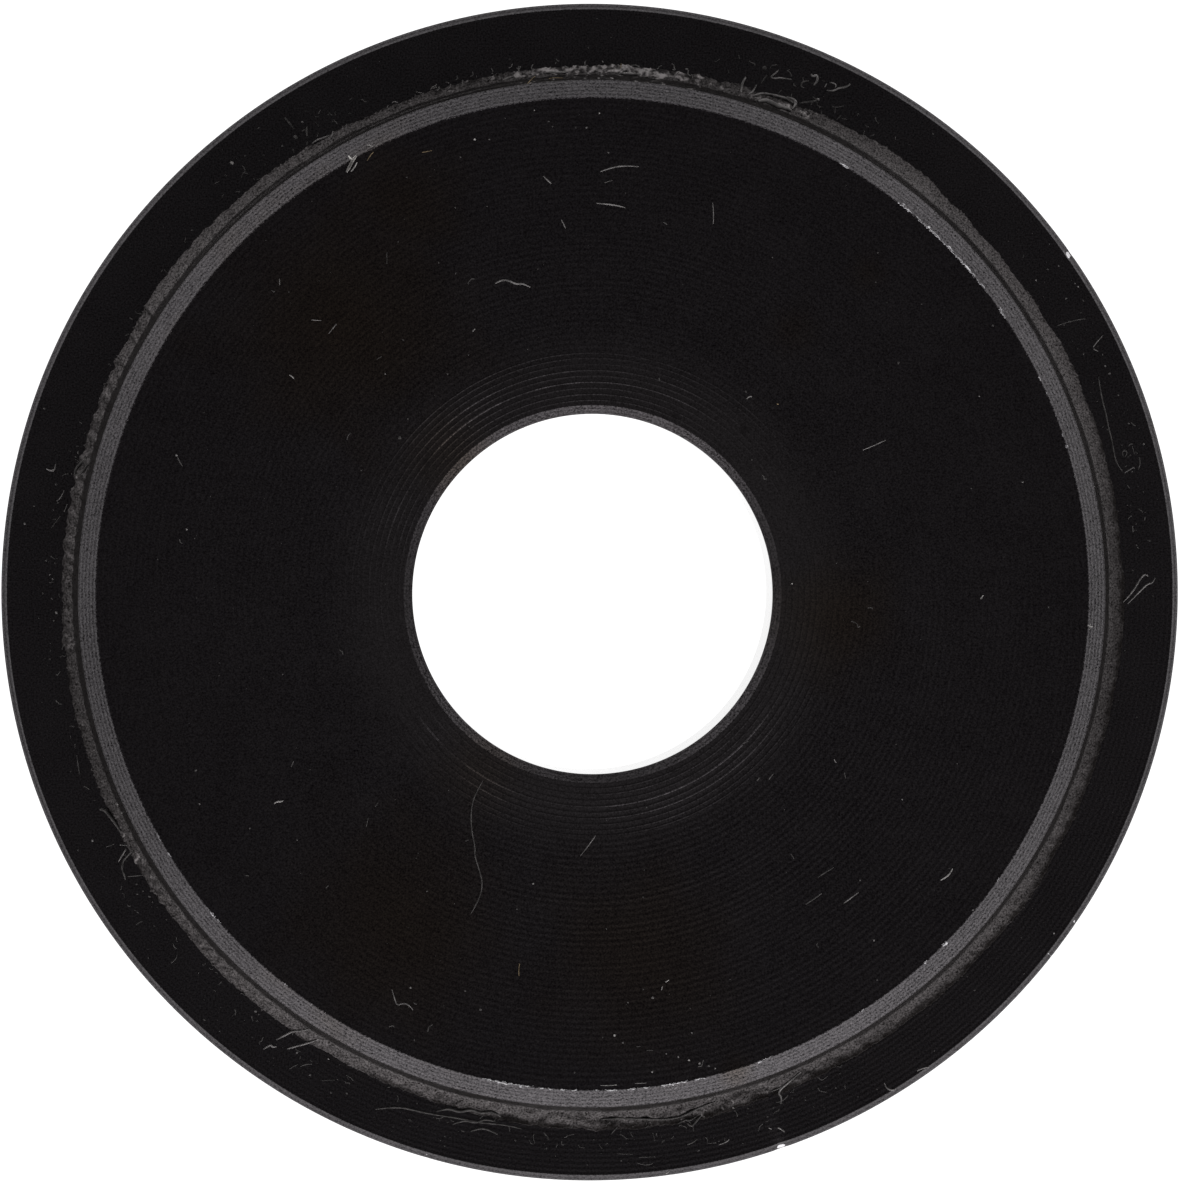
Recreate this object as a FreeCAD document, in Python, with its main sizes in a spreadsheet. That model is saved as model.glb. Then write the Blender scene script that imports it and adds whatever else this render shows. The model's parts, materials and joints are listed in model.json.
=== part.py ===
import FreeCAD, Part
import math
import os
import Sketcher

# Collar washer, turned from the bar as one piece of steel. A flat round flange carries a raised
# round collar on its front, and a plain bore for a bolt runs through both.
# Millimetres. The axis is Z, the flange's flat back lies on Z = 0 and the collar points up.
# The origin is the centre of the back, where the bore's axis meets it.

NODE = "collar_washer"
FOLDER = "parts"

# Driving dimensions: name, value, what it is.
SIZES = (
    ("flange_diameter", 40.0, "outside diameter of the flange"),
    ("flange_thickness", 3.0, "flange, from its back to its front face"),
    ("flange_edge_break", 0.2, "45 degree break on both rims of the flange"),
    ("collar_diameter", 34.7, "outside diameter of the raised collar"),
    ("collar_height", 3.0, "collar, from the flange's front to the collar's face"),
    ("collar_chamfer", 0.6, "45 degree chamfer round the collar's face"),
    ("collar_root_radius", 0.3, "tool nose radius where the collar meets the flange"),
    ("bore_diameter", 12.15, "plain bore through collar and flange"),
    ("bore_chamfer", 0.3, "45 degree chamfer at both mouths of the bore"),
)

# How close an edge has to be to a wanted radius and height, and how far a volume may be out.
EDGE_MATCH = 0.0001
VOLUME_MATCH = 0.001


def add_sheet(doc):
    """Puts the driving dimensions into a spreadsheet, each cell under its own alias."""
    sheet = doc.addObject("Spreadsheet::Sheet", "sizes")
    for row, (name, value, meaning) in enumerate(SIZES, start=1):
        sheet.set(f"A{row}", name)
        sheet.set(f"B{row}", str(value))
        sheet.set(f"C{row}", meaning)
        sheet.setAlias(f"B{row}", name)
    doc.recompute()
    return sheet


def add_sketch(body, name, role):
    """A new sketch on one of the body's own origin planes."""
    planes = [plane for plane in body.Origin.OriginFeatures if plane.Role == role]
    sketch = body.newObject("Sketcher::SketchObject", name)
    sketch.AttachmentSupport = [(planes[0], "")]
    sketch.MapMode = "FlatFace"
    return sketch


def bind(sketch, name, expression, constraint):
    """Adds one constraint to a sketch under a name of its own and ties it to the sheet."""
    index = sketch.addConstraint(constraint)
    sketch.renameConstraint(index, name)
    sketch.setExpression(f"Constraints.{name}", expression)


def draw_turned_profile(sketch, sheet):
    """The stepped half section of the blank, from the axis outwards, still with sharp corners."""
    flange_radius = sheet.flange_diameter / 2
    collar_radius = sheet.collar_diameter / 2
    front = sheet.flange_thickness
    top = front + sheet.collar_height
    corners = (
        (0.0, 0.0),
        (flange_radius, 0.0),
        (flange_radius, front),
        (collar_radius, front),
        (collar_radius, top),
        (0.0, top),
    )
    points = [FreeCAD.Vector(x, y, 0) for x, y in corners]
    count = len(points)
    for index in range(count):
        line = Part.LineSegment(points[index], points[(index + 1) % count])
        sketch.addGeometry(line, False)
    for index in range(count):
        sketch.addConstraint(Sketcher.Constraint("Coincident", index, 2, (index + 1) % count, 1))
    back, rim, flange_front, wall, face, axis = range(count)
    for level in (back, flange_front, face):
        sketch.addConstraint(Sketcher.Constraint("Horizontal", level))
    for upright in (rim, wall, axis):
        sketch.addConstraint(Sketcher.Constraint("Vertical", upright))
    sketch.addConstraint(Sketcher.Constraint("Coincident", back, 1, -1, 1))
    bind(sketch, "flange_radius", "sizes.flange_diameter / 2",
         Sketcher.Constraint("DistanceX", back, 1, back, 2, flange_radius))
    bind(sketch, "collar_radius", "sizes.collar_diameter / 2",
         Sketcher.Constraint("DistanceX", face, 2, face, 1, collar_radius))
    bind(sketch, "flange_thickness", "sizes.flange_thickness",
         Sketcher.Constraint("DistanceY", rim, 1, rim, 2, front))
    bind(sketch, "collar_height", "sizes.collar_height",
         Sketcher.Constraint("DistanceY", wall, 1, wall, 2, sheet.collar_height))


def turn_blank(doc, body, sheet):
    """The blank as it leaves the bar, turned in one revolution about Z."""
    profile = add_sketch(body, "turned_profile", "XZ_Plane")
    draw_turned_profile(profile, sheet)
    blank = body.newObject("PartDesign::Revolution", "blank")
    blank.Profile = profile
    blank.ReferenceAxis = (profile, ["V_Axis"])
    blank.Angle = 360
    doc.recompute()
    return blank


def drill_bore(doc, body, sheet, blank):
    """The plain bore, cut through flange and collar from the back."""
    circle = add_sketch(body, "bore_circle", "XY_Plane")
    radius = sheet.bore_diameter / 2
    circle.addGeometry(Part.Circle(FreeCAD.Vector(0, 0, 0), FreeCAD.Vector(0, 0, 1), radius), False)
    circle.addConstraint(Sketcher.Constraint("Coincident", 0, 3, -1, 1))
    bind(circle, "bore_diameter", "sizes.bore_diameter",
         Sketcher.Constraint("Diameter", 0, sheet.bore_diameter))
    bore = body.newObject("PartDesign::Pocket", "bore")
    bore.Profile = circle
    bore.Type = "ThroughAll"
    bore.Reversed = True
    doc.recompute()
    depth = sheet.flange_thickness + sheet.collar_height
    cut = blank.Shape.Volume - bore.Shape.Volume
    expected = math.pi * radius ** 2 * depth
    if abs(cut - expected) > VOLUME_MATCH * expected:
        raise ValueError(f"the bore took away {cut:.2f} mm3 and not {expected:.2f} mm3")
    return bore


def ring_edges(shape, radius, height):
    """Names of the full round edges of a shape at one radius and one height."""
    names = []
    for number, edge in enumerate(shape.Edges, start=1):
        curve = edge.Curve
        if not isinstance(curve, Part.Circle):
            continue
        radius_fits = abs(curve.Radius - radius) < EDGE_MATCH
        height_fits = abs(curve.Center.z - height) < EDGE_MATCH
        if radius_fits and height_fits:
            names.append(f"Edge{number}")
    if not names:
        raise ValueError(f"no round edge at radius {radius} and height {height}")
    return names


def dress_edge(doc, body, kind, name, base, rings, size):
    """A fillet or chamfer on the round edges at the given (radius, height) pairs of a feature."""
    edges = []
    for radius, height in rings:
        edges += ring_edges(base.Shape, radius, height)
    feature = body.newObject(f"PartDesign::{kind}", name)
    feature.Base = (base, edges)
    feature.setExpression("Radius" if kind == "Fillet" else "Size", f"sizes.{size}")
    doc.recompute()
    return feature


def build_collar_washer(doc, sheet):
    """The whole washer: blank, bore, then the corner and the edges that the tool left."""
    body = doc.addObject("PartDesign::Body", NODE)
    body.Label = NODE
    body.Placement = FreeCAD.Placement()
    blank = turn_blank(doc, body, sheet)
    bore = drill_bore(doc, body, sheet, blank)
    flange_radius = sheet.flange_diameter / 2
    collar_radius = sheet.collar_diameter / 2
    bore_radius = sheet.bore_diameter / 2
    front = sheet.flange_thickness
    top = front + sheet.collar_height
    root = dress_edge(doc, body, "Fillet", "collar_root", bore,
                      [(collar_radius, front)], "collar_root_radius")
    collar_edge = dress_edge(doc, body, "Chamfer", "collar_edge", root,
                             [(collar_radius, top)], "collar_chamfer")
    mouths = dress_edge(doc, body, "Chamfer", "bore_mouths", collar_edge,
                        [(bore_radius, 0.0), (bore_radius, top)], "bore_chamfer")
    rims = dress_edge(doc, body, "Chamfer", "flange_rims", mouths,
                      [(flange_radius, 0.0), (flange_radius, front)], "flange_edge_break")
    body.Tip = rims
    doc.recompute()
    return body


def check_document(doc, bodies):
    """Stops with a plain message if an object failed or a sub-part has no sound solid."""
    for item in doc.Objects:
        if "Invalid" in item.State or "Error" in item.State:
            raise ValueError(f"{item.Name} failed: {item.State}")
    for body in bodies:
        if body.Shape.isNull() or not body.Shape.isValid():
            raise ValueError(f"{body.Label} has no valid shape")
        if len(body.Shape.Solids) != 1:
            raise ValueError(f"{body.Label} has {len(body.Shape.Solids)} solids")


def export(bodies):
    """Writes each sub-part's shape to its own STEP file, named after its node."""
    os.makedirs(FOLDER, exist_ok=True)
    for body in bodies:
        body.Shape.exportStep(os.path.join(FOLDER, f"{body.Label}.step"))
        box = body.Shape.BoundBox
        print(f"{body.Label}: {body.Shape.Volume:.2f} mm3, "
              f"{box.XLength:.3f} x {box.YLength:.3f} x {box.ZLength:.3f} mm")


document = FreeCAD.newDocument("collar_washer_model")
size_sheet = add_sheet(document)
washer = build_collar_washer(document, size_sheet)
check_document(document, [washer])
export([washer])
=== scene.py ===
"""Looks of a turned collar washer in blackened steel, built round its solid.

The solid is replaced by a finely turned skin of the same profile, which carries its tool marks,
its dents and its worn edges. A bead of preserving oil stands in the corner of the collar, with
lint and dust in it. Lengths are in millimetres until a mesh is written.
"""

import json
import logging
import math
from dataclasses import dataclass, field
from enum import Enum

import bpy
import numpy as np
from mathutils import Matrix, Vector

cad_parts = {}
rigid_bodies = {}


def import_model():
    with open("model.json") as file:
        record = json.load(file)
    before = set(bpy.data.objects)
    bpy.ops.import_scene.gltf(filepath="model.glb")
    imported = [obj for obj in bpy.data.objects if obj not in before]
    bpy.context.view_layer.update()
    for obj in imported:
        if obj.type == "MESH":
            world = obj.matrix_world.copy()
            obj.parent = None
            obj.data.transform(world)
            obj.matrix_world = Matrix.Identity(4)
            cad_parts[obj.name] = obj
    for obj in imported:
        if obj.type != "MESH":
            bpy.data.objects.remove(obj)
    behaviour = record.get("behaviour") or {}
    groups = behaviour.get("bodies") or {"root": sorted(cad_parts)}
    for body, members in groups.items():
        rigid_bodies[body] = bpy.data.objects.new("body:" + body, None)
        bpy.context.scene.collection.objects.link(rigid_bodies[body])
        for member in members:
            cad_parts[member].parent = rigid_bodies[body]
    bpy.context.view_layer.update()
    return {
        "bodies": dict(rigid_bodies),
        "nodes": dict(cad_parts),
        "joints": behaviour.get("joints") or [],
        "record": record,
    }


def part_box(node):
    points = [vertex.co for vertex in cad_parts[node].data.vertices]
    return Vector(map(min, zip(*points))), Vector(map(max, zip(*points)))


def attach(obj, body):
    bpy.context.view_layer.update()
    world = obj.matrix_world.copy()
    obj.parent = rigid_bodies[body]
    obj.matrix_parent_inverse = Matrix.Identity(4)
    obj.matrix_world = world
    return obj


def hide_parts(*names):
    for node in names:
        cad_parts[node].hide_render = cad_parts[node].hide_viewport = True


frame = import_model()

NODE = "collar_washer"
BODY = "root"
MM = 0.001
Colour = tuple[float, float, float, float]

log = logging.getLogger("collar_washer")


class Zone(Enum):
    """The turned surfaces of the washer, in the order in which its profile meets them."""

    BACK = "back"
    BACK_BREAK = "back_break"
    RIM = "rim"
    FRONT_BREAK = "front_break"
    FLANGE = "flange"
    COLLAR_WALL = "collar_wall"
    COLLAR_CHAMFER = "collar_chamfer"
    COLLAR_FACE = "collar_face"
    BORE_LAND = "bore_land"
    BORE_CHAMFER = "bore_chamfer"
    BORE = "bore"
    BORE_BACK_CHAMFER = "bore_back_chamfer"


class Tone(Enum):
    """How bright a bit of lint or dust looks."""

    BRIGHT = "bright"
    GREY = "grey"
    FAINT = "faint"
    TAN = "tan"
    METAL = "metal"


@dataclass(frozen=True)
class ToolMarks:
    """What the tool left on one turned surface.

    Attributes:
        pitch: Feed per turn, along the profile, in mm.
        depth: Height of one mark, in mm.
        grain: Height of the fine grain of the oxide, in mm.
        gloss: Roughness of the surface in the shader.
        speckle: How much the grain lightens and darkens it.
        lines: How much the crests of the marks are rubbed brighter.
        shine: How strongly it reflects, 1 for the plain face.
        fade: How much shallower the marks are on the side away from the open one, from 0 to 1.
    """

    pitch: float
    depth: float
    grain: float
    gloss: float
    speckle: float
    lines: float = 0.0
    shine: float = 1.0
    fade: float = 0.4


# The values of the tool marks that a mesh carries as attributes of the same name.
MARK_VALUES = ("grain", "gloss", "speckle", "lines", "shine")

TOOL_MARKS: dict[Zone, ToolMarks] = {
    Zone.BACK: ToolMarks(pitch=0.1765, depth=0.0028, grain=0.0006, gloss=0.24, speckle=2.0),
    Zone.BACK_BREAK: ToolMarks(pitch=0.10, depth=0.0010, grain=0.004, gloss=0.30, speckle=2.6, shine=0.74),
    Zone.RIM: ToolMarks(pitch=0.20, depth=0.0040, grain=0.001, gloss=0.24, speckle=2.0),
    Zone.FRONT_BREAK: ToolMarks(pitch=0.19, depth=0.0030, grain=0.004, gloss=0.30, speckle=2.6, lines=0.22,
                                shine=0.67),
    Zone.FLANGE: ToolMarks(pitch=0.174, depth=0.0033, grain=0.0005, gloss=0.22, speckle=2.8, shine=1.12,
                           fade=1.0),
    Zone.COLLAR_WALL: ToolMarks(pitch=0.175, depth=0.0030, grain=0.001, gloss=0.24, speckle=2.0),
    Zone.COLLAR_CHAMFER: ToolMarks(pitch=0.168, depth=0.0026, grain=0.003, gloss=0.30, speckle=3.7,
                                   lines=0.24, shine=0.93),
    Zone.COLLAR_FACE: ToolMarks(pitch=0.1765, depth=0.0029, grain=0.0005, gloss=0.22, speckle=2.8),
    Zone.BORE_LAND: ToolMarks(pitch=0.199, depth=0.0036, grain=0.0006, gloss=0.25, speckle=3.2, shine=1.05),
    Zone.BORE_CHAMFER: ToolMarks(pitch=0.15, depth=0.0020, grain=0.004, gloss=0.32, speckle=4.8, lines=0.22,
                                 shine=0.76),
    Zone.BORE: ToolMarks(pitch=0.12, depth=0.0006, grain=0.0002, gloss=0.05, speckle=0.2),
    Zone.BORE_BACK_CHAMFER: ToolMarks(pitch=0.10, depth=0.0006, grain=0.003, gloss=0.30, speckle=2.0,
                                      shine=0.76),
}

# Rings between two corners, in mm along the profile from its start, or from its end where negative.
EXTRA_RINGS: dict[Zone, tuple[float, ...]] = {
    Zone.RIM: (-0.30, -0.10),
    Zone.FRONT_BREAK: (0.07, 0.14, 0.20),
    Zone.FLANGE: (0.08, 0.20),
    Zone.COLLAR_FACE: (0.05,),
    Zone.BORE_LAND: (0.35,),
}


@dataclass(frozen=True)
class WasherSizes:
    """Sizes of the washer in mm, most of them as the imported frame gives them.

    Attributes:
        land_radius: Radius within which the sharper rings by the bore lie.
        burr_height: How far the burr and the dust stand over the collar's face.
    """

    flange_radius: float
    flange_thickness: float
    collar_radius: float
    bore_radius: float
    height: float
    bore_chamfer: float
    collar_chamfer: float = 0.6
    root_radius: float = 0.3
    edge_break: float = 0.2
    land_radius: float = 8.45
    burr_height: float = 0.015

    @classmethod
    def from_frame(cls, packed: dict) -> "WasherSizes":
        """Reads the sizes from the node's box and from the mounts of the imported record.


        Returns:
            The washer's sizes in mm.
        """
        low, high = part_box(NODE)
        mounts = {mount["name"]: mount for mount in packed["record"]["mounts"]}
        bore, wall = mounts["bore"]["dims"], mounts["collar_wall"]["dims"]
        height = (high.z - low.z) / MM
        return cls(
            flange_radius=high.x / MM,
            flange_thickness=mounts["flange_front"]["pos_m"][2] / MM,
            collar_radius=wall["r_mm"],
            bore_radius=bore["r_mm"],
            height=height,
            bore_chamfer=(height - bore["length_mm"]) / 2,
        )

    @property
    def face_radius(self) -> float:
        """Radius of the collar's flat face."""
        return self.collar_radius - self.collar_chamfer

    @property
    def face_level(self) -> float:
        """Height of the collar's flat face, over which only the burr and the dust stand."""
        return self.height - self.burr_height


@dataclass(frozen=True)
class Sight:
    """Where a spot of the picture lies on the washer.

    Attributes:
        front_middle: Pixel of the axis on the flange's front.
        front_scale: Pixels for each mm there.
        face_middle: Pixel of the axis on the collar's face.
        face_scale: Pixels for each mm there.
        face_reach: Pixels from the axis within which a spot lies on the face.
    """

    front_middle: tuple[float, float] = (589.9, 592.2)
    front_scale: float = 29.43
    face_middle: tuple[float, float] = (592.2, 593.8)
    face_scale: float = 29.62
    face_reach: float = 505.0

    def spot(self, x: float, y: float) -> tuple[float, float]:
        """Turns a pixel into millimetres.

        Args:
            x: Pixels to the right.
            y: Pixels down.

        Returns:
            X and Y on the washer in mm.
        """
        on_face = math.dist((x, y), self.face_middle) < self.face_reach
        middle = self.face_middle if on_face else self.front_middle
        scale = self.face_scale if on_face else self.front_scale
        return (x - middle[0]) / scale, (middle[1] - y) / scale


@dataclass(frozen=True)
class Clouds:
    """Noise that makes a value uneven.

    Attributes:
        scale: How many lumps it has for each mm.
        detail: How many finer layers lie over them.
        spread: How much of it is added.
    """

    scale: float
    detail: float
    spread: float = 1.0


class NodeGraph:
    """A thin layer over a node tree that makes nodes and links them in one call."""

    def __init__(self, tree: bpy.types.NodeTree) -> None:
        """Takes the tree to fill, and empties it."""
        self.tree = tree
        tree.nodes.clear()

    def node(self, kind: str, settings: dict | None = None, inputs: dict | None = None) -> bpy.types.Node:
        """Adds one node.

        Args:
            kind: The node's type name.
            settings: Attributes of the node to set.
            inputs: Input name or number to a value or to the output that feeds it.

        Returns:
            The new node.
        """
        made = self.tree.nodes.new(kind)
        for name, value in (settings or {}).items():
            setattr(made, name, value)
        for key, value in (inputs or {}).items():
            self.feed(made.inputs[key], value)
        return made

    def feed(self, socket: bpy.types.NodeSocket, value: object) -> None:
        """Links an output to an input, or sets the input's own value."""
        if isinstance(value, bpy.types.NodeSocket):
            self.tree.links.new(value, socket)
        else:
            socket.default_value = value

    def math(self, operation: str, *values: object) -> bpy.types.NodeSocket:
        """A Math node on up to three values, as its output."""
        return self.node("ShaderNodeMath", {"operation": operation}, dict(enumerate(values))).outputs[0]

    def scaled(self, source: object, factor: object) -> bpy.types.NodeSocket:
        """A vector times a number."""
        return self.node("ShaderNodeVectorMath", {"operation": "SCALE"},
                         {"Vector": source, "Scale": factor}).outputs[0]

    def dot(self, source: object, other: object) -> bpy.types.NodeSocket:
        """The dot product of two vectors."""
        return self.node("ShaderNodeVectorMath", {"operation": "DOT_PRODUCT"},
                         {0: source, 1: other}).outputs["Value"]

    def length(self, source: object) -> bpy.types.NodeSocket:
        """The length of a vector."""
        return self.node("ShaderNodeVectorMath", {"operation": "LENGTH"}, {0: source}).outputs["Value"]

    def product(self, source: object, other: object) -> bpy.types.NodeSocket:
        """Two vectors multiplied part by part."""
        return self.node("ShaderNodeVectorMath", {"operation": "MULTIPLY"}, {0: source, 1: other}).outputs[0]

    def combine(self, x: object, y: object, z: object) -> bpy.types.NodeSocket:
        """A vector from its three parts."""
        return self.node("ShaderNodeCombineXYZ", inputs={0: x, 1: y, 2: z}).outputs[0]

    def noise(self, source: object, clouds: Clouds, output: int | str = 0) -> bpy.types.NodeSocket:
        """Noise around a half, as one number or as the output that is asked for."""
        return self.node("ShaderNodeTexNoise", inputs={
            "Vector": source, "Scale": clouds.scale, "Detail": clouds.detail}).outputs[output]

    def uneven(self, source: object, clouds: Clouds, base: object) -> bpy.types.NodeSocket:
        """A value that clouds raise and lower."""
        swing = self.math("SUBTRACT", self.noise(source, clouds), 0.5)
        return self.math("MULTIPLY_ADD", swing, clouds.spread, base)

    def turn(self, place: object) -> bpy.types.NodeSocket:
        """The angle of a place round the axis, in radians."""
        parts = self.node("ShaderNodeSeparateXYZ", inputs={0: place}).outputs
        return self.math("ARCTAN2", parts[1], parts[0])

    def unrolled(self, turn: object, radius: object, shape: tuple[float, float]) -> bpy.types.NodeSocket:
        """A place to read noise at, which stretches the noise round the axis or along the radius."""
        around, along = shape
        return self.combine(self.math("MULTIPLY", turn, around), self.math("MULTIPLY", radius, along), 0.0)

    def flat(self, place: object) -> bpy.types.NodeSocket:
        """A place without its height."""
        return self.product(place, (1.0, 1.0, 0.0))

    def ramp(self, value: object, low: float, high: float, start: float = 0.0,
             end: float = 1.0) -> bpy.types.NodeSocket:
        """A smooth step from start at low to end at high."""
        return self.node("ShaderNodeMapRange", {"interpolation_type": "SMOOTHSTEP"},
                         {"Value": value, "From Min": low, "From Max": high,
                          "To Min": start, "To Max": end}).outputs[0]

    def blend(self, factor: object, first: object, second: object) -> bpy.types.NodeSocket:
        """A colour between two colours."""
        return self.node("ShaderNodeMix", {"data_type": "RGBA"},
                         {"Factor": factor, 6: first, 7: second}).outputs[2]

    def attribute(self, name: str) -> bpy.types.NodeSocket:
        """A mesh attribute as one number, in a shader."""
        return self.node("ShaderNodeAttribute", {"attribute_name": name}).outputs["Fac"]

    def millimetres(self) -> bpy.types.NodeSocket:
        """Object coordinates in mm, in a shader."""
        return self.scaled(self.node("ShaderNodeTexCoord").outputs["Object"], 1.0 / MM)

    def bump(self, height: object) -> bpy.types.NodeSocket:
        """A normal bent by a height in mm, in a shader."""
        return self.node("ShaderNodeBump", inputs={"Height": height, "Distance": MM,
                                                   "Strength": 1.0}).outputs[0]


def shader_graph(name: str) -> tuple[bpy.types.Material, NodeGraph, bpy.types.Node]:
    """A new node material with an output and nothing else.

    Args:
        name: The material's name.

    Returns:
        The material, its graph and its output node.
    """
    material = bpy.data.materials.new(name)
    material.use_nodes = True
    graph = NodeGraph(material.node_tree)
    return material, graph, graph.node("ShaderNodeOutputMaterial")


@dataclass(frozen=True)
class Stain:
    """A soft patch of the face where the oxide has another hue, or a smear that dulls it.

    Attributes:
        x: Its middle in the picture, in pixels to the right.
        y: Its middle, in pixels down.
        reach: How far it spreads, in pixels.
        strength: From 0 to 1.
    """

    x: float
    y: float
    reach: float
    strength: float


BROWN_STAINS: tuple[Stain, ...] = (
    Stain(x=345.0, y=325.0, reach=175.0, strength=1.0),
    Stain(x=405.0, y=205.0, reach=90.0, strength=0.85),
    Stain(x=835.0, y=618.0, reach=95.0, strength=0.95),
    Stain(x=400.0, y=925.0, reach=160.0, strength=0.85),
    Stain(x=640.0, y=955.0, reach=150.0, strength=0.75),
    Stain(x=450.0, y=455.0, reach=70.0, strength=0.65),
    Stain(x=480.0, y=770.0, reach=70.0, strength=0.55),
    Stain(x=735.0, y=1070.0, reach=26.0, strength=0.5),
    Stain(x=790.0, y=330.0, reach=40.0, strength=0.5),
    Stain(x=868.0, y=272.0, reach=28.0, strength=0.5),
)

DARK_SMEARS: tuple[Stain, ...] = (
    Stain(x=674.7, y=416.5, reach=6.0, strength=0.55),
    Stain(x=744.0, y=430.0, reach=7.0, strength=0.55),
    Stain(x=561.0, y=386.0, reach=6.0, strength=0.5),
    Stain(x=426.0, y=462.0, reach=7.0, strength=0.5),
    Stain(x=424.0, y=472.0, reach=5.0, strength=0.45),
    Stain(x=410.5, y=746.0, reach=4.5, strength=0.5),
    Stain(x=407.0, y=755.0, reach=4.5, strength=0.5),
    Stain(x=403.5, y=764.0, reach=4.5, strength=0.45),
)


@dataclass(frozen=True)
class Ridge:
    """A ring by the bore where the tool stepped: its radius and its height in mm."""

    radius: float
    height: float


BORE_RIDGES: tuple[Ridge, ...] = (
    Ridge(radius=6.55, height=0.0046), Ridge(radius=6.75, height=0.0056), Ridge(radius=6.96, height=0.0040),
    Ridge(radius=7.16, height=0.0090), Ridge(radius=7.37, height=0.0044), Ridge(radius=7.56, height=0.0072),
    Ridge(radius=7.77, height=0.0040), Ridge(radius=7.97, height=0.0048), Ridge(radius=8.14, height=0.0052),
)


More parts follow.
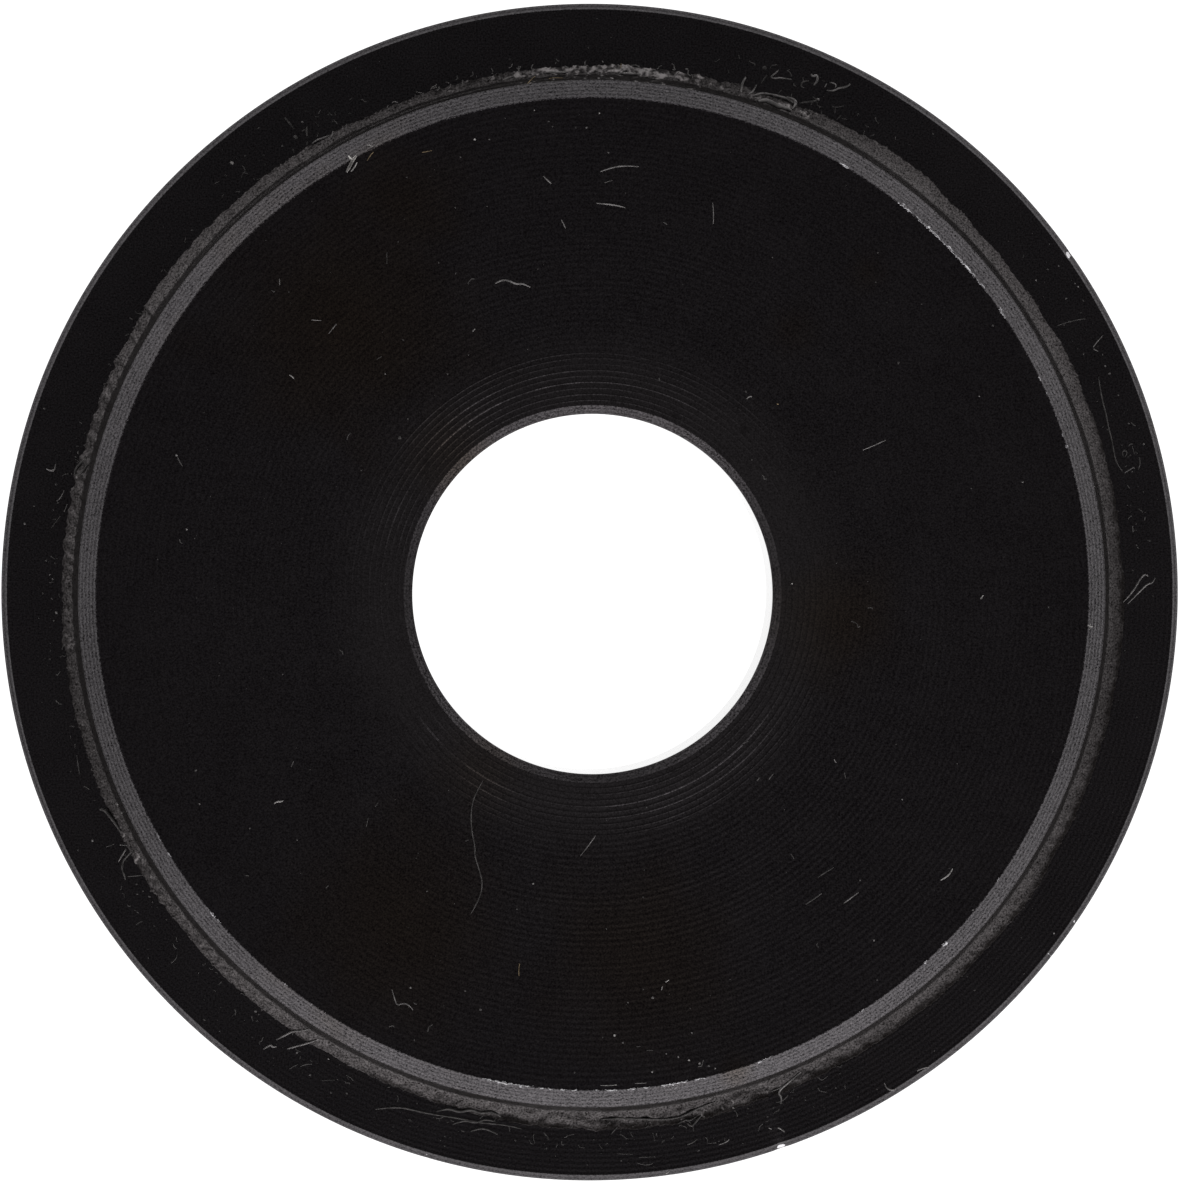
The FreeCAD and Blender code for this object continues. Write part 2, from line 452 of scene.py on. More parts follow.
@dataclass(frozen=True)
class BlackOxide:
    """Black oxide over turned steel, thinly oiled, with bare steel where its edges are worn.

    Attributes:
        handled: The oxide's greyer colour by the bore.
        handled_radii: Radii in mm at which that colour starts and is full.
        sheen: Tint of its reflections, and brown_sheen is their tint inside a brown stain.
        stain_tightness: How tight a stain is where its noise is nothing; at 1 it has its own reach.
        streak_shape: Lumps of the wear's noise for each radian and for each mm of radius.
        worn: Streaks plus wear at which the steel starts to show and is bare.
        lot_depth: Least depth of a tool mark, and how much deeper it may be, as shares.
        ridge_break_range: Where on their noise the ridges by the bore are lowest and highest.
        ridge_share: How high they are there, as shares of their own height.
    """

    black: Colour = (0.0059, 0.0045, 0.0055, 1.0)
    handled: Colour = (0.0180, 0.0160, 0.0165, 1.0)
    handled_radii: tuple[float, float] = (9.3, 6.9)
    sheen: Colour = (0.985, 0.935, 0.980, 1.0)
    brown_sheen: Colour = (1.0, 0.80, 0.60, 1.0)
    bare_steel: Colour = (0.82, 0.82, 0.84, 1.0)
    steel_roughness: float = 0.35
    index: float = 1.8
    gloss_clouds: Clouds = Clouds(scale=0.9, detail=3.0, spread=0.06)
    shine_clouds: Clouds = Clouds(scale=0.6, detail=4.0, spread=0.5)
    grain: Clouds = Clouds(scale=17.0, detail=1.0)
    stain_edges: Clouds = Clouds(scale=0.55, detail=3.0, spread=1.1)
    stain_tightness: float = 0.45
    streaks: Clouds = Clouds(scale=1.0, detail=4.0)
    streak_shape: tuple[float, float] = (40.0, 7.0)
    worn: tuple[float, float] = (1.05, 1.12)
    lot_depth: tuple[float, float] = (0.65, 0.7)
    ridge_width: float = 0.022
    ridge_breaks: Clouds = Clouds(scale=0.35, detail=2.0)
    ridge_break_range: tuple[float, float] = (0.34, 0.66)
    ridge_share: tuple[float, float] = (0.6, 1.7)

    def material(self, sight: Sight) -> bpy.types.Material:
        """Builds the washer's material from Object coordinates and the skin's attributes.

        Args:
            sight: Where the spots of the picture lie.

        Returns:
            The material.
        """
        material, graph, output = shader_graph("black_oxide")
        place = graph.millimetres()
        radius = graph.length(graph.flat(place))
        normal = graph.bump(self._relief(graph, place, radius))
        colour = graph.blend(graph.ramp(radius, *self.handled_radii), self.black, self.handled)
        sheen = graph.blend(self._patches(graph, place, sight, BROWN_STAINS), self.sheen, self.brown_sheen)
        oxide = graph.node("ShaderNodeBsdfPrincipled", inputs={
            "Base Color": colour, "IOR": self.index, "Normal": normal, "Specular Tint": sheen,
            "Roughness": graph.uneven(place, self.gloss_clouds, graph.attribute("gloss")),
            "Specular IOR Level": self._shine(graph, place, sight)})
        steel = graph.node("ShaderNodeBsdfPrincipled", inputs={
            "Base Color": self.bare_steel, "Metallic": 1.0, "Roughness": self.steel_roughness,
            "Normal": normal})
        wear = graph.math("ADD", self._streaks(graph, place, radius), graph.attribute("wear"))
        mix = graph.node("ShaderNodeMixShader", inputs={
            0: graph.ramp(wear, *self.worn), 1: oxide.outputs[0], 2: steel.outputs[0]})
        graph.feed(output.inputs["Surface"], mix.outputs[0])
        return material

    def _shine(self, graph: NodeGraph, place: bpy.types.NodeSocket, sight: Sight) -> bpy.types.NodeSocket:
        """How strongly each spot reflects: a fine grain, slow clouds and a few smears."""
        grain = graph.math("SUBTRACT", graph.noise(place, self.grain), 0.5)
        uneven = graph.math("MULTIPLY_ADD", grain, graph.attribute("speckle"),
                            graph.uneven(place, self.shine_clouds, 1.0))
        uneven = graph.math("MULTIPLY_ADD", self._wave(graph), graph.attribute("lines"), uneven)
        clean = graph.math("SUBTRACT", 0.5, graph.math("MULTIPLY", 0.5, self._patches(
            graph, place, sight, DARK_SMEARS)))
        return graph.math("MULTIPLY", graph.math("MULTIPLY", uneven, clean), graph.attribute("shine"))

    def _wave(self, graph: NodeGraph) -> bpy.types.NodeSocket:
        """The tool marks' wave, from -1 in a furrow to 1 on a crest."""
        return graph.math("COSINE", graph.math("MULTIPLY", graph.attribute("turn"), 2 * math.pi))

    def _patches(self, graph: NodeGraph, place: bpy.types.NodeSocket, sight: Sight,
                 stains: tuple[Stain, ...]) -> bpy.types.NodeSocket:
        """How far each spot lies inside one of the stains, from 0 to 1."""
        edges = graph.noise(place, self.stain_edges)
        ragged = graph.math("MULTIPLY_ADD", edges, self.stain_edges.spread, self.stain_tightness)
        covered: object = 0.0
        for stain in stains:
            reach = stain.reach / sight.face_scale
            away = graph.length(graph.node("ShaderNodeVectorMath", {"operation": "SUBTRACT"}, {
                0: graph.flat(place), 1: (*sight.spot(stain.x, stain.y), 0.0)}).outputs[0])
            inside = graph.ramp(graph.math("MULTIPLY", away, ragged), reach, 0.0, 0.0, stain.strength)
            covered = graph.math("MAXIMUM", covered, inside)
        return covered

    def _streaks(self, graph: NodeGraph, place: bpy.types.NodeSocket,
                 radius: bpy.types.NodeSocket) -> bpy.types.NodeSocket:
        """Noise that is drawn out round the axis, for wear that follows an edge."""
        drawn_out = graph.unrolled(graph.turn(place), radius, self.streak_shape)
        return graph.noise(drawn_out, self.streaks)

    def _relief(self, graph: NodeGraph, place: bpy.types.NodeSocket,
                radius: bpy.types.NodeSocket) -> bpy.types.NodeSocket:
        """Height of the surface in mm: tool marks, ridges by the bore and the oxide's grain."""
        lot = graph.node("ShaderNodeTexWhiteNoise", {"noise_dimensions": "1D"},
                         {"W": graph.math("FLOOR", graph.attribute("turn"))}).outputs[0]
        scallop = graph.math("MULTIPLY_ADD", self._wave(graph), -0.5, 0.5)
        least, more = self.lot_depth
        uneven = graph.math("MULTIPLY_ADD", lot, more, least)
        height = graph.math("MULTIPLY", scallop, graph.math("MULTIPLY", graph.attribute("depth"), uneven))
        grain = graph.noise(place, self.grain)
        height = graph.math("MULTIPLY_ADD", grain, graph.attribute("grain"), height)
        breaks = graph.noise(place, self.ridge_breaks)
        broken = graph.ramp(breaks, *self.ridge_break_range, *self.ridge_share)
        for ridge in BORE_RIDGES:
            away = graph.math("DIVIDE", graph.math("SUBTRACT", radius, ridge.radius), self.ridge_width)
            hump = graph.math("EXPONENT", graph.math("MULTIPLY", graph.math("MULTIPLY", away, away), -1.0))
            height = graph.math("MULTIPLY_ADD", hump, graph.math("MULTIPLY", broken, ridge.height), height)
        return height


@dataclass(frozen=True)
class OilFilm:
    """Old preserving oil, dark and frosted, with the dust that it caught.

    Attributes:
        brown: The oil's colour at the thin outer edge.
        dusty: Colour of the crust that dust has made of it.
        grain: Its fine grain, and lumps are its soft lumps, with their heights in mm.
        speckle: How much the grain lightens and darkens it.
        hair_shape: Hairs of the outer edge for each radian, and their lumps for each mm of radius.
        fringe: Where the outer edge starts and is full.
        crust: Clouds plus dust at which the crust starts and is full.
        shine: How strongly the oil reflects, on the bead and on its outer edge, before its painted gleam
            scales it by side as painted highlight and shade.
    """

    clear: Colour = (0.0080, 0.0068, 0.0062, 1.0)
    brown: Colour = (0.0165, 0.0140, 0.0130, 1.0)
    dusty: Colour = (0.78, 0.75, 0.74, 1.0)
    sheen: Colour = (1.0, 0.945, 0.945, 1.0)
    index: float = 1.85
    roughness: float = 0.36
    grain: Clouds = Clouds(scale=16.0, detail=1.0, spread=0.005)
    speckle: float = 3.8
    lumps: Clouds = Clouds(scale=3.4, detail=3.0, spread=0.022)
    edge_clouds: Clouds = Clouds(scale=2.2, detail=4.0, spread=1.5)
    hairs: Clouds = Clouds(scale=1.0, detail=2.0, spread=0.30)
    hair_shape: tuple[float, float] = (150.0, 6.0)
    fringe: tuple[float, float] = (0.45, 1.05)
    crust_clouds: Clouds = Clouds(scale=4.2, detail=4.0)
    crust: tuple[float, float] = (1.02, 1.22)
    shine: tuple[float, float] = (0.46, 0.10)

    def material(self) -> bpy.types.Material:
        """Builds the bead's material from Object coordinates and the bead's attributes."""
        material, graph, output = shader_graph("preserving_oil")
        place = graph.millimetres()
        grain = graph.noise(place, self.grain)
        lumps = graph.math("MULTIPLY", graph.noise(place, self.lumps), self.lumps.spread)
        relief = graph.math("MULTIPLY_ADD", grain, self.grain.spread, lumps)
        ragged = graph.uneven(place, self.edge_clouds, graph.attribute("edge"))
        drawn_out = graph.unrolled(graph.turn(place), graph.length(graph.flat(place)), self.hair_shape)
        fringe = graph.ramp(graph.uneven(drawn_out, self.hairs, ragged), *self.fringe)
        colour = graph.blend(fringe, self.clear, self.brown)
        dust = graph.math("ADD", graph.noise(place, self.crust_clouds), graph.attribute("dust"))
        crust = graph.ramp(dust, *self.crust)
        uneven = graph.math("MULTIPLY_ADD", graph.math("SUBTRACT", grain, 0.5), self.speckle, 1.0)
        thick, thin = self.shine
        # The painted gleam raises or lowers the oil's reflection by side, as painted highlight and shade.
        shine = graph.math("MULTIPLY", graph.math("MULTIPLY_ADD", fringe, thin - thick, thick),
                           graph.attribute("gleam"))
        oil = graph.node("ShaderNodeBsdfPrincipled", inputs={
            "Base Color": graph.blend(crust, colour, self.dusty),
            "Roughness": self.roughness, "IOR": self.index, "Specular Tint": self.sheen,
            "Specular IOR Level": graph.math("MULTIPLY", uneven, shine), "Normal": graph.bump(relief)})
        graph.feed(output.inputs["Surface"], oil.outputs[0])
        return material


LINT_COLOURS: dict[Tone, Colour] = {
    Tone.BRIGHT: (0.86, 0.85, 0.82, 1.0),
    Tone.GREY: (0.50, 0.49, 0.48, 1.0),
    Tone.FAINT: (0.19, 0.185, 0.18, 1.0),
    Tone.TAN: (0.44, 0.34, 0.20, 1.0),
    Tone.METAL: (0.88, 0.86, 0.82, 1.0),
}


@dataclass
class Finishes:
    """One material for each tone of lint, made once.

    Attributes:
        shade: How dark the darker patches of lint are, as a share of its colour.
        patch_range: Where on the patches' noise lint is darkest and brightest.
        made: The materials so far.
    """

    shade: float = 0.45
    patches: Clouds = Clouds(scale=4.0, detail=2.0)
    patch_range: tuple[float, float] = (0.35, 0.62)
    roughness: float = 0.75
    metal_roughness: float = 0.5
    index: float = 1.45
    made: dict[Tone, bpy.types.Material] = field(default_factory=dict)

    def lint(self, tone: Tone) -> bpy.types.Material:
        """Cotton lint or dust of one tone, or a bright flake of metal.

        Args:
            tone: How bright it looks.

        Returns:
            Its material.
        """
        if tone not in self.made:
            material, graph, output = shader_graph(f"lint_{tone.value}")
            colour = LINT_COLOURS[tone]
            dark = (*(part * self.shade for part in colour[:3]), 1.0)
            patches = graph.ramp(graph.noise(graph.millimetres(), self.patches), *self.patch_range)
            metal = tone is Tone.METAL
            shader = graph.node("ShaderNodeBsdfPrincipled", inputs={
                "Base Color": graph.blend(patches, dark, colour),
                "Metallic": 1.0 if metal else 0.0,
                "Roughness": self.metal_roughness if metal else self.roughness,
                "IOR": self.index})
            graph.feed(output.inputs["Surface"], shader.outputs[0])
            self.made[tone] = material
        return self.made[tone]


@dataclass(frozen=True)
class RimChip:
    """A place where something knocked the flange's front edge down to bright steel.

    Attributes:
        clockwise: Its angle in degrees, clockwise from the picture's right.
        span: Its length along the edge in mm.
        depth: How deep it goes in mm.
        wear: How bare it is, from 0 to 1.
    """

    clockwise: float
    span: float
    depth: float
    wear: float


RIM_CHIPS: tuple[RimChip, ...] = (
    RimChip(clockwise=324.8, span=0.15, depth=0.030, wear=0.60),
    RimChip(clockwise=294.0, span=0.06, depth=0.010, wear=0.52),
    RimChip(clockwise=34.2, span=0.08, depth=0.012, wear=0.54),
    RimChip(clockwise=36.4, span=0.06, depth=0.008, wear=0.52),
    RimChip(clockwise=38.3, span=0.07, depth=0.010, wear=0.53),
    RimChip(clockwise=71.0, span=0.20, depth=0.055, wear=0.60),
    RimChip(clockwise=82.3, span=0.07, depth=0.012, wear=0.50),
    RimChip(clockwise=106.2, span=0.09, depth=0.012, wear=0.53),
    RimChip(clockwise=345.3, span=0.05, depth=0.008, wear=0.52),
)


@dataclass(frozen=True)
class Burr:
    """A stretch of the collar's face edge where the oxide is worn off.

    Attributes:
        clockwise: Its middle in degrees, clockwise from the picture's right.
        spread: Half its length in degrees.
        wear: How bare it is, from 0 to 1.
    """

    clockwise: float
    spread: float
    wear: float


BURRS: tuple[Burr, ...] = (
    Burr(clockwise=300.4, spread=0.8, wear=0.72),
    Burr(clockwise=308.8, spread=1.2, wear=0.76),
    Burr(clockwise=315.8, spread=9.0, wear=0.70),
    Burr(clockwise=325.6, spread=0.9, wear=0.84),
    Burr(clockwise=334.3, spread=0.4, wear=0.66),
    Burr(clockwise=336.1, spread=0.3, wear=0.66),
    Burr(clockwise=341.3, spread=0.3, wear=0.66),
    Burr(clockwise=342.7, spread=0.3, wear=0.64),
    Burr(clockwise=340.0, spread=13.0, wear=0.46),
    Burr(clockwise=2.0, spread=9.0, wear=0.40),
    Burr(clockwise=35.2, spread=0.4, wear=0.74),
    Burr(clockwise=44.8, spread=0.5, wear=0.76),
    Burr(clockwise=47.9, spread=0.4, wear=0.68),
    Burr(clockwise=57.2, spread=0.6, wear=0.62),
    Burr(clockwise=87.0, spread=19.0, wear=0.57),
    Burr(clockwise=69.5, spread=2.2, wear=0.60),
    Burr(clockwise=80.5, spread=2.6, wear=0.70),
    Burr(clockwise=99.5, spread=4.6, wear=0.68),
    Burr(clockwise=124.0, spread=12.0, wear=0.46),
    Burr(clockwise=139.5, spread=3.4, wear=0.62),
    Burr(clockwise=149.0, spread=6.0, wear=0.46),
)


def apart(angles: np.ndarray, clockwise: float) -> np.ndarray:
    """How far angles lie from one direction.

    Args:
        angles: Angles in radians, counter-clockwise from +X.
        clockwise: The direction in degrees, clockwise from +X.

    Returns:
        The difference in degrees, between -180 and 180.
    """
    turned = angles + math.radians(clockwise)
    return np.degrees(np.arctan2(np.sin(turned), np.cos(turned)))


LEAST_BURR_WEAR = 0.25


def burr_wear(angles: np.ndarray) -> np.ndarray:
    """How far the oxide is worn off the collar's face edge, from 0 to 1 at each angle."""
    wear = np.full(len(angles), LEAST_BURR_WEAR)
    for burr in BURRS:
        wear = np.maximum(wear, burr.wear * np.exp(-(apart(angles, burr.clockwise) / burr.spread) ** 4))
    return wear


@dataclass(frozen=True)
class Swell:
    """A stretch round the collar where the bead differs from the rest.

    Attributes:
        clockwise: Its middle in degrees, clockwise from the picture's right.
        spread: Half its length in degrees.
        amount: How much it adds there.
        flatness: 2 for a soft hump, 4 for a plateau.
    """

    clockwise: float
    spread: float
    amount: float
    flatness: int = 2


# Round the bead, how much it differs from what is usual in its reach from the wall in mm, in the
# softness and the slope of its foot, in the ledge by the wall, in its lumps, in its folds, twist and
# looseness in mm, in its dust, and in its gleam, which is painted highlight and shade by side.
BEAD_WIDTHS: tuple[Swell, ...] = (
    Swell(clockwise=48.0, spread=76.0, amount=0.21, flatness=4),
    Swell(clockwise=84.0, spread=16.0, amount=0.12),
    Swell(clockwise=306.0, spread=9.0, amount=0.22),
    Swell(clockwise=338.0, spread=9.0, amount=0.08),
    Swell(clockwise=247.0, spread=10.0, amount=-0.10),
    Swell(clockwise=268.0, spread=14.0, amount=-0.06),
    Swell(clockwise=202.0, spread=8.0, amount=-0.06),
    Swell(clockwise=217.0, spread=6.0, amount=0.03),
)

BEAD_SOFTNESS: tuple[Swell, ...] = (
    Swell(clockwise=48.0, spread=74.0, amount=0.75, flatness=4),
    Swell(clockwise=160.0, spread=26.0, amount=0.25),
    Swell(clockwise=262.0, spread=26.0, amount=0.30),
)

BEAD_STEEPNESS: tuple[Swell, ...] = (
    Swell(clockwise=80.0, spread=34.0, amount=-0.26),
    Swell(clockwise=125.0, spread=18.0, amount=-0.06),
)

BEAD_LEDGE: tuple[Swell, ...] = (
    Swell(clockwise=250.0, spread=38.0, amount=0.50, flatness=4),
)

BEAD_LUMPS: tuple[Swell, ...] = (
    Swell(clockwise=270.0, spread=16.0, amount=1.80, flatness=4),
    Swell(clockwise=190.0, spread=30.0, amount=1.20),
    Swell(clockwise=140.0, spread=16.0, amount=0.90),
    Swell(clockwise=230.0, spread=12.0, amount=0.80),
    Swell(clockwise=82.0, spread=24.0, amount=0.60),
    Swell(clockwise=293.0, spread=6.0, amount=1.20),
)

BEAD_FOLDS: tuple[Swell, ...] = (
    Swell(clockwise=84.0, spread=26.0, amount=0.032, flatness=4),
    Swell(clockwise=200.0, spread=40.0, amount=0.009),
)

BEAD_TWIST: tuple[Swell, ...] = (
    Swell(clockwise=188.0, spread=24.0, amount=0.027, flatness=4),
    Swell(clockwise=228.0, spread=16.0, amount=0.010),
    Swell(clockwise=140.0, spread=14.0, amount=0.004),
)

BEAD_LOOSENESS: tuple[Swell, ...] = (
    Swell(clockwise=190.0, spread=26.0, amount=0.024, flatness=4),
    Swell(clockwise=234.0, spread=12.0, amount=0.016),
    Swell(clockwise=82.0, spread=22.0, amount=0.022),
    Swell(clockwise=282.0, spread=14.0, amount=0.014),
)

BEAD_DUST: tuple[Swell, ...] = (
    Swell(clockwise=271.5, spread=12.5, amount=0.31, flatness=4),
    Swell(clockwise=256.0, spread=6.0, amount=0.12),
    Swell(clockwise=292.0, spread=7.0, amount=0.20),
    Swell(clockwise=235.0, spread=8.0, amount=0.12),
    Swell(clockwise=190.0, spread=34.0, amount=0.10),
    Swell(clockwise=150.0, spread=8.0, amount=0.12),
    Swell(clockwise=78.0, spread=14.0, amount=0.10),
)

# Painted highlight and shade: the oil reflects more strongly on some sides of the collar and less on others,
# standing in for how the light falls there.
BEAD_PAINTED_GLEAM: tuple[Swell, ...] = (
    Swell(clockwise=66.0, spread=40.0, amount=-0.30),
    Swell(clockwise=198.0, spread=30.0, amount=0.22),
    Swell(clockwise=340.0, spread=16.0, amount=0.26),
    Swell(clockwise=277.0, spread=15.0, amount=-0.24),
)


def swelling(angles: np.ndarray, base: float, swells: tuple[Swell, ...]) -> np.ndarray:
    """A value at each angle that the swells raise or lower.

    Args:
        angles: Angles in radians, counter-clockwise from +X.
        base: The value where no swell is.
        swells: The stretches that differ.

    Returns:
        The value at each angle.
    """
    total = np.full(len(angles), base)
    for swell in swells:
        away = np.abs(apart(angles, swell.clockwise)) / swell.spread
        total += swell.amount * np.exp(-away ** swell.flatness)
    return total


def smooth_step(value: np.ndarray) -> np.ndarray:
    """A smooth step from 0 to 1 as the value goes from 0 to 1."""
    clipped = np.clip(value, 0.0, 1.0)
    return clipped * clipped * (3 - 2 * clipped)


@dataclass(frozen=True)
class RingNoise:
    """Smooth noise round a ring, the same on every run.

    Attributes:
        seed: Seed of its draw.
        lowest: Waves round the ring in the slowest part.
        highest: Waves round the ring in the finest part.
        falloff: How fast finer waves get weaker.
        amount: How much it usually is.
        unevenness: How much the strengths of its waves differ.
    """

    seed: int
    lowest: int
    highest: int
    falloff: float
    amount: float = 1.0
    unevenness: float = 0.4

    def at(self, angles: np.ndarray) -> np.ndarray:
        """The noise at these angles in radians."""
        draw = np.random.default_rng(self.seed)
        waves = np.arange(self.lowest, self.highest + 1)
        phases = draw.uniform(0, 2 * math.pi, len(waves))
        strengths = draw.normal(1.0, self.unevenness, len(waves)) / waves.astype(float) ** self.falloff
        strengths /= math.sqrt(np.sum(strengths ** 2) / 2)
        return self.amount * (strengths * np.cos(np.outer(angles, waves) + phases)).sum(axis=1)


@dataclass(frozen=True)
class WaveField:
    """Smooth noise over a ring that is unrolled, the same on every run.

    Attributes:
        seed: Seed of its draw.
        shortest: Shortest wave in mm.
        longest: Longest wave in mm.
        count: How many waves there are.
    """

    seed: int
    shortest: float
    longest: float
    count: int = 90

    def at(self, radius: float, angles: np.ndarray, reach: np.ndarray) -> np.ndarray:
        """The noise on the ring.

        Args:
            radius: The ring's radius in mm.
            angles: Where to read the noise, in radians.
            reach: How far from that radius, in mm.

        Returns:
            The noise, with a spread of about 1.
        """
        draw = np.random.default_rng(self.seed)
        lengths = np.exp(draw.uniform(math.log(self.shortest), math.log(self.longest), self.count))
        headings = draw.uniform(0, 2 * math.pi, self.count)
        around = np.round(2 * math.pi * radius / lengths * np.cos(headings))
        across = 2 * math.pi / lengths * np.sin(headings)
        phases = draw.uniform(0, 2 * math.pi, self.count)
        strengths = lengths / math.sqrt(np.sum(lengths ** 2) / 2)
        total = np.zeros_like(reach)
        for turns, slant, phase, strength in zip(around, across, phases, strengths):
            total += strength * np.cos(turns * angles + slant * reach + phase)
        return total


def even_angles(count: int) -> np.ndarray:
    """Angles all the way round, in radians."""
    return np.arange(count) * (2 * math.pi / count)


def ring_mesh(name: str, points: np.ndarray) -> bpy.types.Mesh:
    """A closed mesh from rings of points, which run counter-clockwise seen from +Z.

    Args:
        name: The mesh's name.
        points: Rings by segments by three, in metres. The rings follow the section
            counter-clockwise, and the last one joins the first.

    Returns:
        A smooth mesh whose faces point outwards.
    """
    rings, segments, _ = points.shape
    mesh = bpy.data.meshes.new(name)
    ring, seg = np.meshgrid(np.arange(rings), np.arange(segments), indexing="ij")
    after, beside = (ring + 1) % rings, (seg + 1) % segments
    quads = np.stack([ring * segments + seg, ring * segments + beside,
                      after * segments + beside, after * segments + seg], axis=-1).reshape(-1, 4)
    mesh.from_pydata(points.reshape(-1, 3).tolist(), [], quads.tolist())
    mesh.update()
    mesh.shade_smooth()
    return mesh


def turned(radii: np.ndarray, heights: np.ndarray, angles: np.ndarray) -> np.ndarray:
    """Points from radii and heights in mm, given for every ring and angle, in metres."""
    return np.stack([radii * np.cos(angles), radii * np.sin(angles), heights], axis=-1) * MM


def store(mesh: bpy.types.Mesh, name: str, values: np.ndarray) -> None:
    """Stores one number for each vertex as an attribute of the mesh."""
    attribute = mesh.attributes.new(name, "FLOAT", "POINT")
    attribute.data.foreach_set("value", np.asarray(values, dtype=np.float32))


def press_down(mesh: bpy.types.Mesh, top: float) -> None:
    """Flattens whatever stands above a height in mm."""
    points = np.empty(len(mesh.vertices) * 3, dtype=np.float32)
    mesh.vertices.foreach_get("co", points)
    points[2::3] = np.minimum(points[2::3], top * MM)
    mesh.vertices.foreach_set("co", points)
    mesh.update()


def add_object(name: str, data: bpy.types.ID) -> bpy.types.Object:
    """Puts a mesh or curve into the scene under its own name."""
    piece = bpy.data.objects.new(name, data)
    bpy.context.scene.collection.objects.link(piece)
    return piece


def settle(name: str, mesh: bpy.types.Mesh, material: bpy.types.Material | None = None,
           replaced: str | None = None) -> bpy.types.Object:
    """Makes a finished piece of a mesh, which rides on the washer's body.

    Args:
        name: The piece's name.
        mesh: Its mesh.
        material: Its material, where the mesh doesn't have it yet.
        replaced: The CAD node that it stands for.

    Returns:
        The piece.
    """
    if material is not None:
        mesh.materials.clear()
        mesh.materials.append(material)
    piece = add_object(name, mesh)
    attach(piece, BODY)
    if replaced:
        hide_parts(replaced)
    log.info("%s: %d faces", piece.name, len(mesh.polygons))
    return piece


def as_mesh(carrier: bpy.types.Object) -> bpy.types.Mesh:
    """The evaluated shape of an object as a plain mesh, after which the object goes.

    Args:
        carrier: An object with a curve or with modifiers.

    Returns:
        The new mesh.
    """
    depsgraph = bpy.context.evaluated_depsgraph_get()
    mesh = bpy.data.meshes.new_from_object(carrier.evaluated_get(depsgraph), depsgraph=depsgraph)
    carrier.modifiers.clear()
    bpy.data.objects.remove(carrier)
    return mesh


def grow(base: bpy.types.Mesh, tree: bpy.types.NodeTree, values: dict[str, object]) -> bpy.types.Mesh:
    """Runs a Geometry Nodes tree on a mesh.

    Args:
        base: The mesh that it starts from.
        tree: The tree.
        values: The tree's named inputs.

    Returns:
        What the tree made, as a plain mesh.
    """
    carrier = add_object("carrier", base)
    modifier = carrier.modifiers.new("grow", "NODES")
    modifier.node_group = tree
    for item in tree.interface.items_tree:
        if item.item_type == "SOCKET" and item.in_out == "INPUT" and item.name in values:
            modifier[item.identifier] = values[item.name]
    return as_mesh(carrier)


@dataclass(frozen=True)
class Ring:
    """One ring of the skin: where it lies on the profile and what it carries."""

    radius: float
    height: float
    normal: tuple[float, float]
    turn: float
    marks: ToolMarks


